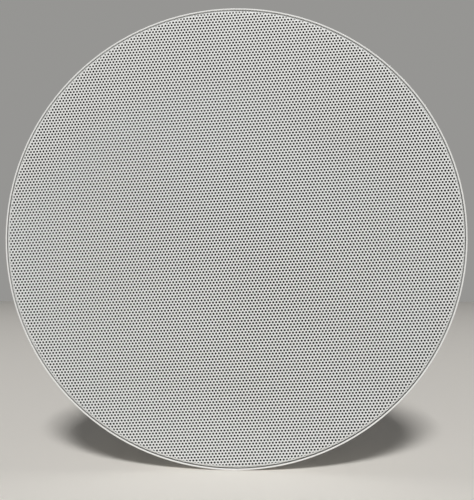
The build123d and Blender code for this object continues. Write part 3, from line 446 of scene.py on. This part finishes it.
def weave(name, colour, thread, depth, sheen):
    """Plain-woven cloth: crossing threads with uneven yarn."""
    f = Finish(name)
    x, _, z = f.axes()
    slub = f.noise(size=thread * 14, detail=3.0)
    warp = f.waves(x + slub * thread * 0.3, 2 * thread)
    weft = f.waves(z + slub * thread * 0.3, 2 * thread)
    over = warp * weft + (1 - warp) * (1 - weft)
    yarn = f.math("ABSOLUTE", f.waves(x, thread) - f.waves(z, thread))
    height = over * 0.7 + yarn * 0.3
    # Darker where the threads lie low and lighter on the crossings: painted shade between the
    # threads and a painted highlight on top
    tone = f.tones(height, colour, dark=0.55, light=1.35)
    f.set(
        Base_Color=f.mix(slub * 0.5, tone, shade(colour, 1.4)),
        Roughness=0.92 - height * 0.12,
        Sheen_Weight=sheen,
        Sheen_Roughness=0.5,
        Specular_IOR_Level=0.2,
    )
    f.bump(height, depth, strength=0.8)
    return f.material


def soft_rubber(name, colour):
    """Butyl rubber: matt, with a dusty bloom and fine mould lines round the roll."""
    f = Finish(name)
    bloom = f.noise(size=0.012, detail=5.0, roughness=0.65)
    lines = f.noise(size=0.0007, detail=1.0, vector=f.point(x=f.radius()))
    f.set(
        Base_Color=f.tones(bloom, colour, dark=0.7, light=1.7),
        Roughness=bloom * 0.15 + 0.58,
        Specular_IOR_Level=0.35,
    )
    f.bump(lines, depth=0.00002, strength=0.5)
    return f.material


def cone_plastic(name, colour, roughness):
    """Moulded mica-filled polypropylene: fine flecks, and rings from the mould."""
    f = Finish(name)
    flecks = f.step(f.cells(size=0.0007), 0.05, 0.3)
    rings = f.noise(size=0.0009, vector=f.point(x=f.radius()))
    f.set(
        Base_Color=f.mix(flecks, shade(colour, 1.9), colour),
        Roughness=rings * 0.14 + roughness,
    )
    f.bump(rings, depth=0.00003, strength=0.5)
    return f.material


def ferrite(name, colour):
    """Sintered ferrite: dull, speckled, with grey chips and grinding marks."""
    f = Finish(name)
    x, _, _ = f.axes()
    speckle = f.noise(size=0.0009, detail=6.0, roughness=0.7)
    chips = f.step(f.noise(size=0.004, detail=5.0, roughness=0.7), 0.60, 0.68)
    grind = f.noise(size=0.0005, vector=f.point(x=x))
    tone = f.tones(speckle, colour, dark=0.65, light=1.9)
    f.set(
        Base_Color=f.mix(chips * 0.5, tone, shade(colour, 2.6)),
        Roughness=speckle * 0.2 + 0.5,
        Metallic=0.25,
    )
    f.bump(speckle * 0.7 + grind * 0.3, depth=0.00005, strength=0.6)
    return f.material


def enamelled_wire(name, colour, pitch):
    """Copper wire under clear enamel, turn beside turn along the speaker's axis."""
    f = Finish(name)
    _, y, _ = f.axes()
    turns = f.waves(y, pitch)
    cloud = f.noise(size=0.003, detail=3.0)
    # Each turn is painted darker towards its sides and lighter along its crest: painted shade
    # between the turns and a painted highlight on each
    tone = f.tones(turns, colour, dark=0.4, light=1.1)
    f.set(
        Base_Color=f.mix(cloud * 0.4, tone, shade(colour, 0.75)),
        Metallic=0.9,
        Roughness=cloud * 0.15 + 0.22,
        Coat_Weight=cloud * 0.4 + 0.3,
    )
    f.bump(turns, depth=pitch * 0.25, strength=0.5)
    return f.material


def copper_turns(name, colour):
    """Enamelled copper on turns that are modelled: fine drawing lines and uneven lacquer."""
    f = Finish(name)
    cloud = f.noise(size=0.003, detail=4.0, roughness=0.6)
    lines = f.noise(size=0.00012)
    f.set(
        Base_Color=f.tones(cloud, colour, dark=0.7, light=1.15),
        Metallic=0.9,
        Roughness=lines * 0.12 + 0.2,
        Coat_Weight=cloud * 0.4 + 0.3,
    )
    f.bump(lines, depth=0.00001, strength=0.4)
    return f.material


def polyimide(name, colour):
    """The thin amber tube that carries the coil."""
    f = Finish(name)
    cloud = f.noise(size=0.006, detail=3.0)
    f.set(
        Base_Color=f.tones(cloud, colour, dark=0.8, light=1.3),
        Roughness=cloud * 0.12 + 0.22,
    )
    return f.material


def circuit_board(name, mask_colour, pad_colour):
    """Green solder mask over copper fields and bare pads, with a faint glass weave under it."""
    f = Finish(name)
    x, y, _ = f.axes()
    flat = f.point(x, y)
    fields = f.step(f.cells(size=0.017, vector=flat, feature="DISTANCE_TO_EDGE"), 0.06, 0.075)
    glass = f.waves(x, 0.0009) * f.waves(y, 0.0009)
    tone = f.tones(fields, mask_colour, dark=0.62, light=1.35)
    pads = f.step(f.cells(size=0.0075, vector=flat), 0.16, 0.13)
    f.set(
        Base_Color=f.mix(pads, f.mix(glass * 0.25, tone, mask_colour), pad_colour),
        Roughness=glass * 0.08 + 0.26,
        Metallic=pads * 0.8,
    )
    f.bump(fields * 0.8 + glass * 0.2, depth=0.00004, strength=0.5)
    return f.material


def sleeve(name, node, colour, stripe_colour, end_colour):
    """A can in a shrunk sleeve: plain dull ends and one pale stripe along the side."""
    low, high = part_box(node)
    middle = (low + high) / 2
    lip = (high.y - low.y) / 2 - SLEEVE_LIP
    stripe_x = middle.x + (high.x - low.x) * STRIPE_PLACE
    f = Finish(name)
    x, y, z = f.axes()
    ends = f.step(f.math("ABSOLUTE", y - middle.y), lip, lip + SLEEVE_EDGE)
    from_stripe = f.math("ABSOLUTE", x - stripe_x)
    stripe = f.step(from_stripe, STRIPE_HALF_WIDTH, STRIPE_HALF_WIDTH - STRIPE_EDGE)
    wrinkle = f.noise(size=0.0025, detail=3.0, vector=f.point(x, y * 0.25, z))
    tone = f.tones(wrinkle, colour, dark=0.85, light=1.15)
    f.set(
        Base_Color=f.mix(ends, f.mix(stripe, tone, stripe_colour), end_colour),
        Roughness=wrinkle * 0.15 + ends * 0.25 + 0.22,
    )
    f.bump(wrinkle, depth=0.00005, strength=0.4)
    return f.material


def cement(name, colour):
    """The ceramic body of the power resistor: chalky and pitted."""
    f = Finish(name)
    pits = f.step(f.cells(size=0.0012), 0.10, 0.24)
    cloud = f.noise(size=0.004, detail=5.0, roughness=0.6)
    tone = f.tones(cloud, colour, dark=0.82, light=1.08)
    f.set(
        # The pits are painted darker than the body: painted shade in the hollows
        Base_Color=f.mix(pits, shade(colour, 0.6), tone),
        Roughness=cloud * 0.1 + 0.8,
    )
    f.bump(pits * 0.6 + cloud * 0.4, depth=0.00008, strength=0.7)
    return f.material


def foam(name, colour):
    """Closed-cell foam strip."""
    f = Finish(name)
    cells = f.cells(size=0.0007)
    f.set(
        # Each cell is painted darker in its middle and lighter towards its walls: painted shade in
        # the cell hollows
        Base_Color=f.tones(cells, colour, dark=0.6, light=1.8),
        Roughness=0.95 - cells * 0.1,
    )
    f.bump(cells, depth=0.00012, strength=0.8)
    return f.material


# Finishes that several pieces share, and those of the pieces that are modelled below
grille_paint = powder_coat("grille_powder_coat", WHITE_PAINT)
black_plastic = moulded("black_moulding", BLACK_PLASTIC, roughness=0.52)
zinc_turned = plated("zinc_turned", ZINC, roughness=0.34, turned_marks=True)
zinc_screw = plated("zinc_screw", ZINC, roughness=0.3)
black_screw = plated("black_oxide_screw", BLACK_OXIDE, roughness=0.42)
copper_wire = copper_turns("coil_copper", COPPER)
tinned_wire = plated("tinned_lead", TIN, roughness=0.28)
grille_weave = weave("acoustic_cloth", BLACK_CLOTH, thread=0.0004, depth=0.00008, sheen=0.1)
spider_weave = weave("spider_cloth", SPIDER_TAN, thread=0.00045, depth=0.00012, sheen=0.15)
surround_rubber = soft_rubber("surround_rubber", BLACK_RUBBER)

CAD_FINISHES = {
    "grille_magnets": plated("nickel_plate", NICKEL, roughness=0.24),
    "frame": moulded_ring("frame_white_abs", WHITE_ABS),
    "woofer_gasket": foam("gasket_foam", BLACK_FOAM),
    "woofer_basket": black_paint("basket_black", BLACK_STEEL),
    "woofer_screws": black_screw,
    "bridge_screws": black_screw,
    "woofer_cone": cone_plastic("cone_polypropylene", BLACK_CONE, roughness=0.36),
    "dust_cap": cone_plastic("dust_cap_polypropylene", BLACK_CAP, roughness=0.28),
    "coil_former": polyimide("former_polyimide", FORMER_AMBER),
    "voice_coil": enamelled_wire("voice_coil_wire", COPPER, pitch=0.0004),
    "top_plate": zinc_turned,
    "ring_magnet": ferrite("ring_ferrite", FERRITE_GREY),
    "yoke": zinc_turned,
    "tweeter_bridge": black_plastic,
    "tweeter_retaining_ring": black_plastic,
    "tweeter_swivel_ring": black_plastic,
    "tweeter_cup": black_plastic,
    "tweeter_faceplate": moulded("faceplate_satin", BLACK_PLASTIC, roughness=0.34, grain=0.0003),
    "tweeter_dome": weave("dome_silk", BLACK_SILK, thread=0.0003, depth=0.00004, sheen=0.5),
    "tweeter_coil": enamelled_wire("tweeter_wire", COPPER, pitch=0.0003),
    "tweeter_pole_plate": zinc_turned,
    "tweeter_magnet": plated("magnet_nickel", NICKEL, roughness=0.22),
    "tweeter_yoke": zinc_turned,
    "crossover_tray": moulded("tray_grey", TRAY_GREY, roughness=0.5),
    "tray_screws": zinc_screw,
    "crossover_board": circuit_board("board_green", SOLDER_MASK, SOLDER_PAD),
    "board_screws": zinc_screw,
    "inductor_bobbin": moulded("bobbin_black", BLACK_PLASTIC, roughness=0.4),
    "capacitor_large": sleeve(
        "film_capacitor", "capacitor_large", FILM_YELLOW, FILM_STRIPE, FILM_END
    ),
    "capacitor_small": sleeve(
        "electrolytic_capacitor", "capacitor_small", CAN_BLUE, CAN_STRIPE, CAN_END
    ),
    "resistor": cement("resistor_cement", CEMENT_WHITE),
    "terminal_block": moulded("terminal_black", BLACK_PLASTIC, roughness=0.42),
    "terminal_button_red": moulded("button_red", RED_BUTTON, roughness=0.3, grain=0.0006),
    "terminal_button_black": moulded("button_black", BLACK_BUTTON, roughness=0.3, grain=0.0006),
}
nylon = moulded("dog_nylon", NATURAL_NYLON, roughness=0.44, flow=0.02)
for number in range(1, CLAMP_COUNT + 1):
    CAD_FINISHES[f"clamp_dog_{number}"] = nylon


def give_finish(piece, material):
    """Puts one material on a piece."""
    piece.data.materials.clear()
    piece.data.materials.append(material)


def deselect():
    """Leaves nothing selected."""
    bpy.ops.object.select_all(action="DESELECT")


def pick(piece):
    """Selects one piece alone."""
    deselect()
    piece.select_set(True)
    bpy.context.view_layer.objects.active = piece


def edit(piece):
    """Opens one piece in edit mode with all its points selected."""
    pick(piece)
    bpy.context.tool_settings.mesh_select_mode = PICK_POINTS
    bpy.ops.object.mode_set(mode="EDIT")
    bpy.ops.mesh.select_all(action="SELECT")


def leave():
    """Leaves edit mode."""
    bpy.ops.object.mode_set(mode="OBJECT")


def weld():
    """Joins doubled points, turns the faces outwards and leaves edit mode."""
    bpy.ops.mesh.select_all(action="SELECT")
    bpy.ops.mesh.remove_doubles(threshold=MERGE_DISTANCE)
    bpy.ops.mesh.normals_make_consistent(inside=False)
    leave()


def join(piece, *others):
    """Makes several pieces one."""
    pick(piece)
    for other in others:
        other.select_set(True)
    bpy.ops.object.join()


def apply_modifier(piece, kind, **settings):
    """Adds a modifier to a piece and applies it."""
    pick(piece)
    modifier = piece.modifiers.new(kind.title(), kind)
    for key, value in settings.items():
        setattr(modifier, key, value)
    bpy.ops.object.modifier_apply(modifier=modifier.name)


def array(piece, count, offset):
    """Repeats a piece's mesh along an offset."""
    apply_modifier(
        piece,
        "ARRAY",
        count=count,
        use_relative_offset=False,
        use_constant_offset=True,
        constant_offset_displace=offset,
    )


def points_of(piece):
    """A mesh's points as an array."""
    points = np.empty(len(piece.data.vertices) * 3)
    piece.data.vertices.foreach_get("co", points)
    return points.reshape(-1, 3)


def set_points(piece, points):
    """Moves a mesh's points."""
    piece.data.vertices.foreach_set("co", np.asarray(points, np.float32).ravel())
    piece.data.update()


def smooth(piece, angle=SMOOTH_ANGLE):
    """Smooth shading, with edges sharper than an angle kept."""
    pick(piece)
    bpy.ops.object.shade_smooth_by_angle(angle=radians(angle))


def finish_piece(piece, material, slot, body, *replaced):
    """Gives a new piece its finish and the body it rides on, and hides the nodes it stands for; the
    slot is not used.
    """
    give_finish(piece, material)
    if body:
        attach(piece, body)
    if replaced:
        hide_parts(*replaced)


def perforated_field(name, rows):
    """A flat band of hexagonal cells with a round hole in each, centred across, from row 0 up."""
    corner = 2 * pi / HOLE_SIDES
    polygon_r = PERFORATION_HOLE / 2 * sqrt(corner / sin(corner))
    columns = 2 * ceil(blank_r / PERFORATION_PITCH) + 2
    next_row = (PERFORATION_PITCH / 2, ROW_HEIGHT, 0)
    deselect()
    bpy.ops.mesh.primitive_circle_add(vertices=CELL_SIDES, radius=PERFORATION_PITCH / sqrt(3))
    field = bpy.context.object
    field.name = name
    edit(field)
    bpy.ops.mesh.primitive_circle_add(vertices=HOLE_SIDES, radius=polygon_r)
    bpy.ops.mesh.select_all(action="SELECT")
    bpy.ops.mesh.bridge_edge_loops()
    bpy.ops.mesh.select_all(action="SELECT")
    bpy.ops.mesh.duplicate_move(TRANSFORM_OT_translate={"value": next_row})
    leave()
    if field.data.polygons[0].normal.z < 0:
        field.data.flip_normals()
    array(field, columns, (PERFORATION_PITCH, 0, 0))
    array(field, rows // 2, (0, 2 * ROW_HEIGHT, 0))
    set_points(field, points_of(field) - np.array([columns // 2 * PERFORATION_PITCH, 0, 0]))
    return field


def trim_to_blank(field):
    """Joins the cells and cuts the band to the round blank that the grille is drawn from."""
    x, y, _ = points_of(field).T
    outside = np.hypot(x, y) > blank_r
    faces = field.data.polygons
    faces.foreach_set("select", [all(outside[v] for v in face.vertices) for face in faces])
    pick(field)
    bpy.context.tool_settings.mesh_select_mode = PICK_FACES
    bpy.ops.object.mode_set(mode="EDIT")
    bpy.ops.mesh.delete(type="FACE")
    bpy.context.tool_settings.mesh_select_mode = PICK_POINTS
    bpy.ops.mesh.select_all(action="SELECT")
    bpy.ops.mesh.remove_doubles(threshold=CELL_MERGE)
    leave()
    points = points_of(field)
    reach = np.hypot(points[:, 0], points[:, 1])
    points[:, :2] *= (blank_r / np.maximum(reach, blank_r))[:, None]
    set_points(field, points)


def draw_skirt(field):
    """Folds the flat blank's edge back into the skirt and stands the sheet up, facing -Y."""
    x, y, z = points_of(field).T
    reach = np.hypot(x, y)
    across = x / np.maximum(reach, TINY)
    up = y / np.maximum(reach, TINY)
    turn = np.clip((reach - flat_r) / GRILLE_BEND, 0, pi / 2)
    skirt = np.maximum(reach - flat_r - GRILLE_BEND * pi / 2, 0)
    inner = GRILLE_BEND + z
    radius = np.minimum(reach, flat_r) + inner * np.sin(turn)
    back = grille_front + GRILLE_BEND - inner * np.cos(turn) + skirt
    set_points(field, np.stack([radius * across, back, radius * up], axis=1))


def grille_sheet():
    """The perforated grille in bands of rows, each with its own share of the holes."""
    rows = 2 * ceil(blank_r / ROW_HEIGHT / GRILLE_BANDS + BAND_SPARE)
    first = -rows * GRILLE_BANDS // 2
    for band in range(GRILLE_BANDS):
        field = perforated_field(f"grille_band_{band + 1}", rows)
        start = (first + band * rows) * ROW_HEIGHT
        x, y, z = (points_of(field) + np.array([0, start, 0])).T
        turned_x = x * cos(ROW_TILT) - y * sin(ROW_TILT) + HOLE_NEAR_CENTRE[0]
        turned_y = x * sin(ROW_TILT) + y * cos(ROW_TILT) + HOLE_NEAR_CENTRE[1]
        set_points(field, np.stack([turned_x, turned_y, z], axis=1))
        trim_to_blank(field)
        apply_modifier(field, "SOLIDIFY", thickness=GRILLE_SHEET, offset=-1.0)
        draw_skirt(field)
        smooth(field)
        finish_piece(field, grille_paint, "white_paint", "grille", "grille")


def draw_line(name, points):
    """A line of vertices, drawn from point to point."""
    deselect()
    bpy.ops.mesh.primitive_plane_add(size=SEED_SIZE, location=Vector(points[0]))
    line = bpy.context.object
    line.name = name
    bpy.ops.object.transform_apply()
    edit(line)
    bpy.ops.mesh.merge(type="CENTER")
    for before, after in zip(points, points[1:]):
        bpy.ops.mesh.extrude_region_move(
            TRANSFORM_OT_translate={"value": Vector(after) - Vector(before)}
        )
    leave()
    return line


def spin(name, points, axis, centre=(0, 0, 0), steps=SPIN_STEPS):
    """A closed outline turned about an axis."""
    piece = draw_line(name, [*points, points[0]])
    edit(piece)
    bpy.ops.mesh.spin(steps=steps, angle=2 * pi, center=centre, axis=axis)
    weld()
    smooth(piece)
    return piece


def banded(path, thickness):
    """The outline of a sheet with a path of (radius, depth) points as its front."""
    front = np.array(path)
    along = np.gradient(front, axis=0)
    normal = np.stack([-along[:, 1], along[:, 0]], axis=1)
    back = front + thickness * normal / np.linalg.norm(normal, axis=1)[:, None]
    return [(radius, depth, 0.0) for radius, depth in [*front, *back[::-1]]]


def arc(left, right, depth, rise, count):
    """Points of a half wave from one radius to another, without its last point."""
    turns = [k * pi / count for k in range(count)]
    middle = (left + right) / 2
    half = (right - left) / 2
    return [(middle - half * cos(turn), depth + rise * sin(turn)) for turn in turns]


def flex(piece):
    """Bakes the piece's placement into its mesh."""
    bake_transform(piece)
    x, _, z = points_of(piece).T


def surround():
    """The rubber half-roll round the cone."""
    _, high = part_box("woofer_surround")
    front = high.y - SURROUND_THICKNESS
    outer = high.x - SURROUND_LANDING
    inner = outer - 2 * SURROUND_ROLL
    roll = arc(inner, outer, front, -SURROUND_ROLL, SURROUND_ARC_POINTS)
    path = [(inner - CONE_LANDING, front), *roll, (outer, front), (high.x, front)]
    piece = spin("surround_roll", banded(path, SURROUND_THICKNESS), SPEAKER_AXIS)
    flex(piece)
    finish_piece(piece, surround_rubber, "rubber", None, "woofer_surround")


def spider():
    """The corrugated cloth disc that centres the coil."""
    low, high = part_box("woofer_spider")
    middle = (low.y + high.y - SPIDER_THICKNESS) / 2
    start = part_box("coil_former")[1].x + SPIDER_GLUE
    first = start + SPIDER_COLLAR
    last = high.x - SPIDER_RIM
    half_wave = (last - first) / (2 * SPIDER_WAVES)
    path = [(start, middle)]
    for k in range(2 * SPIDER_WAVES):
        left = first + k * half_wave
        rise = SPIDER_WAVE_HEIGHT * (-1 if k % 2 else 1)
        path += arc(left, left + half_wave, middle, rise, SPIDER_ARC_POINTS)
    path += [(last, middle), (high.x, middle)]
    piece = spin("spider_disc", banded(path, SPIDER_THICKNESS), SPEAKER_AXIS)
    flex(piece)
    finish_piece(piece, spider_weave, "spider_cloth", None, "woofer_spider")


def acoustic_cloth():
    """The black cloth bonded behind the grille: stretched flat, and run a little into the fold."""
    low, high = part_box("grille_cloth")
    fold_r = GRILLE_BEND - GRILLE_SHEET - CLOTH_FOLD_GAP
    radius = flat_r + CLOTH_FOLD
    deselect()
    bpy.ops.mesh.primitive_circle_add(
        vertices=CLOTH_SIDES,
        radius=radius,
        fill_type="NGON",
        location=(0, low.y, 0),
        rotation=(radians(90), 0, 0),
    )
    cloth = bpy.context.object
    cloth.name = "grille_backing_cloth"
    bpy.ops.object.transform_apply()
    edit(cloth)
    for _ in range(CLOTH_FOLD_RINGS):
        bpy.ops.mesh.inset(thickness=CLOTH_FOLD / CLOTH_FOLD_RINGS)
    for _ in range(CLOTH_RINGS):
        bpy.ops.mesh.inset(thickness=flat_r / (CLOTH_RINGS + 1))
    leave()
    apply_modifier(cloth, "SOLIDIFY", thickness=high.y - low.y, offset=-1.0)
    x, y, z = points_of(cloth).T
    reach = np.hypot(x, z)
    turn = np.maximum(reach - flat_r, 0) / fold_r
    inner = fold_r - (y - low.y)
    drawn = (np.minimum(reach, flat_r) + inner * np.sin(turn)) / np.maximum(reach, TINY)
    back = low.y + fold_r - inner * np.cos(turn)
    set_points(cloth, np.stack([x * drawn, back, z * drawn], axis=1))
    smooth(cloth)
    finish_piece(cloth, grille_weave, "black_cloth", "grille", "grille_cloth")


def screw_head(radius, seat):
    """A pan head with a cross recess, its underside at a depth on the Y axis."""
    front = seat - CLAMP_HEAD_HEIGHT
    deselect()
    bpy.ops.mesh.primitive_cylinder_add(
        vertices=CLAMP_HEAD_SIDES,
        radius=radius,
        depth=CLAMP_HEAD_HEIGHT,
        location=(0, seat - CLAMP_HEAD_HEIGHT / 2, 0),
        rotation=(radians(90), 0, 0),
    )
    head = bpy.context.object
    bpy.ops.object.transform_apply()
    edit(head)
    bpy.ops.mesh.select_all(action="DESELECT")
    leave()
    in_front = np.abs(points_of(head)[:, 1] - front) < MERGE_DISTANCE
    for edge in head.data.edges:
        edge.select = all(in_front[v] for v in edge.vertices)
    bpy.context.tool_settings.mesh_select_mode = PICK_EDGES
    bpy.ops.object.mode_set(mode="EDIT")
    bpy.ops.mesh.bevel(offset=CLAMP_HEAD_ROUND, segments=CLAMP_HEAD_ROUND_STEPS, affect="EDGES")
    leave()
    for turn in (0, pi / 2):
        deselect()
        bpy.ops.mesh.primitive_cube_add(size=1.0, location=(0, front, 0), rotation=(0, turn, 0))
        cutter = bpy.context.object
        cutter.scale = (radius * DRIVE_REACH, 2 * DRIVE_DEPTH, DRIVE_SLOT)
        bpy.ops.object.transform_apply()
        apply_modifier(head, "BOOLEAN", operation="DIFFERENCE", object=cutter, solver="EXACT")
        bpy.data.objects.remove(cutter)
    return head


def threaded_shank(seat, tip):
    """A screw thread along the Y axis between two depths."""
    crest = CLAMP_SHANK / 2
    root = crest - THREAD_DEPTH
    begin = seat - THREAD_PITCH
    profile = [
        (root, 0),
        (root, THREAD_FLAT),
        (crest, THREAD_PITCH / 2),
        (crest, THREAD_PITCH / 2 + THREAD_FLAT),
        (root, THREAD_PITCH),
    ]
    shank = draw_line("thread", [(radius, begin + depth, 0) for radius, depth in profile])
    apply_modifier(
        shank,
        "SCREW",
        axis="Y",
        angle=2 * pi,
        screw_offset=THREAD_PITCH,
        iterations=ceil((tip - begin) / THREAD_PITCH) + 1,
        steps=THREAD_STEPS,
        render_steps=THREAD_STEPS,
        use_merge_vertices=True,
        merge_threshold=MERGE_DISTANCE,
    )
    edit(shank)
    for depth, outwards in ((seat, -1), (tip, 1)):
        bpy.ops.mesh.select_all(action="SELECT")
        bpy.ops.mesh.bisect(
            plane_co=(0, depth, 0),
            plane_no=(0, outwards, 0),
            use_fill=True,
            clear_outer=True,
        )
    weld()
    return shank


def clamp_screws():
    """The four long screws that draw the dogs to the board, with their threads."""
    low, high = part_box("clamp_screw_1")
    seat = low.y + CLAMP_HEAD_HEIGHT
    shank = threaded_shank(seat, high.y)
    screw = screw_head((high.x - low.x) / 2, seat)
    join(screw, shank)
    smooth(screw, SCREW_SMOOTH_ANGLE)
    for number in range(1, CLAMP_COUNT + 1):
        node = f"clamp_screw_{number}"
        low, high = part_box(node)
        place = np.array([(low.x + high.x) / 2, 0, (low.z + high.z) / 2])
        piece = bpy.data.objects.new(f"threaded_{node}", screw.data.copy())
        bpy.context.scene.collection.objects.link(piece)
        set_points(piece, points_of(piece) + place)
        finish_piece(piece, zinc_screw, "zinc_steel", node, node)
    bpy.data.objects.remove(screw)


def coil_turns():
    """The low-pass coil's winding, turn above turn."""
    low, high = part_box("inductor_winding")
    middle = (low + high) / 2
    inner = middle.x + COIL_CORE / 2
    turns = round((high.z - low.z) / WIRE)
    step = (high.z - low.z) / turns
    crest = high.x - step / 2
    outline = [(inner, middle.y, low.z)]
    for turn in range(turns):
        for k in range(WIRE_ARC_POINTS):
            angle = -pi / 2 + k * pi / WIRE_ARC_POINTS
            height = low.z + step * (turn + 0.5 + sin(angle) / 2)
            outline.append((crest + step / 2 * cos(angle), middle.y, height))
    outline += [(crest, middle.y, high.z), (inner, middle.y, high.z)]
    piece = spin("inductor_turns", outline, COIL_AXIS, (middle.x, middle.y, 0), COIL_STEPS)
    finish_piece(piece, copper_wire, "copper", "chassis", "inductor_winding")


def component_leads(node):
    """A component's two wires, out of its ends and down into the board."""
    low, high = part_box(node)
    middle = (low + high) / 2
    board_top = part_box("crossover_board")[1].z
    wires = []
    for end, outward in ((low.y, -1), (high.y, 1)):
        bend_y = end + outward * (LEAD_REACH - LEAD_BEND)
        path = [(middle.x, end - outward * LEAD, middle.z)]
        for turn in np.linspace(0, pi / 2, LEAD_BEND_POINTS):
            depth = bend_y + outward * LEAD_BEND * sin(turn)
            path.append((middle.x, depth, middle.z - LEAD_BEND * (1 - cos(turn))))
        path.append((middle.x, end + outward * LEAD_REACH, board_top - LEAD))
        wire = draw_line(f"{node}_leads", path)
        bpy.ops.object.convert(target="CURVE")
        wire.data.bevel_depth = LEAD / 2
        wire.data.bevel_resolution = LEAD_ROUNDNESS
        wire.data.use_fill_caps = True
        bpy.ops.object.convert(target="MESH")
        wires.append(wire)
    join(*wires)
    smooth(wires[0], LEAD_SMOOTH_ANGLE)
    finish_piece(wires[0], tinned_wire, "nickel", "chassis")


def floor():
    """A plain pale floor under the rim."""
    f = Finish("pale_floor")
    f.set(Base_Color=FLOOR_WHITE, Roughness=0.6, Specular_IOR_Level=0.2)
    deselect()
    bpy.ops.mesh.primitive_plane_add(size=1.0)
    plane = bpy.context.object
    plane.name = "floor"
    plane.scale = (2 * FLOOR_HALF_WIDTH, FLOOR_BACK + FLOOR_FRONT, 1)
    plane.location = (0, (FLOOR_BACK - FLOOR_FRONT) / 2, cad_low.z)
    give_finish(plane, f.material)
    return plane


def studio_world():
    """Even light from all round, and a plain grey behind the speaker."""
    world = bpy.data.worlds.new("studio")
    bpy.context.scene.world = world
    nodes = Nodes(world)
    light = nodes.tree.nodes["Background"]
    nodes.feed(light.inputs["Color"], WORLD_WHITE)
    nodes.feed(light.inputs["Strength"], WORLD_LIGHT)
    wall = nodes.add("ShaderNodeBackground", {"Color": WALL_GREY})
    rays = nodes.split("ShaderNodeLightPath")
    mirrored = rays["Is Glossy Ray"] + rays["Is Transmission Ray"]
    seen = nodes.math("MINIMUM", rays["Is Camera Ray"] + mirrored, 1.0)
    choice = nodes.add("ShaderNodeMixShader", {0: seen, 1: Value(nodes, light.outputs[0]), 2: wall})
    nodes.feed(nodes.tree.nodes["World Output"].inputs["Surface"], choice)


def aimed(name, data, place, aim):
    """Puts a lamp or a camera at a place, pointing along an aim."""
    holder = bpy.data.objects.new(name, data)
    holder.location = place
    holder.rotation_mode = "QUATERNION"
    holder.rotation_quaternion = aim.to_track_quat("-Z", "Y")
    bpy.context.scene.collection.objects.link(holder)
    return holder


def soft_lamp(name, place, size, power):
    """A large soft lamp that points at the speaker."""
    lamp = bpy.data.lights.new(name, "AREA")
    lamp.shape = "SQUARE"
    lamp.size = size
    lamp.energy = power
    return aimed(name, lamp, place, -Vector(place))


def keep_light_off(lamp, surface):
    """Leaves one surface out of what a lamp lights."""
    left_out = bpy.data.collections.new(f"{lamp.name}_left_out")
    left_out.objects.link(surface)
    left_out.collection_objects[0].light_linking.link_state = "EXCLUDE"
    lamp.light_linking.receiver_collection = left_out


def camera():
    """The photograph's viewpoint."""
    lens = bpy.data.cameras.new("camera")
    lens.lens = LENS
    lens.clip_start = CLIP_START
    bpy.context.scene.camera = aimed("camera", lens, CAMERA_PLACE, Vector(CAMERA_AIM))


# The speaker
for node, material in CAD_FINISHES.items():
    give_finish(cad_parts[node], material)
grille_sheet()
acoustic_cloth()
surround()
spider()
clamp_screws()
coil_turns()
for component in ("capacitor_large", "capacitor_small", "resistor"):
    component_leads(component)

# The studio
pale_floor = floor()
studio_world()
soft_lamp("key_light", KEY_PLACE, KEY_SIZE, KEY_POWER)
back_light = soft_lamp("back_light", BACK_PLACE, BACK_SIZE, BACK_POWER)
keep_light_off(back_light, pale_floor)
camera()
bpy.context.scene.view_settings.view_transform = "Standard"
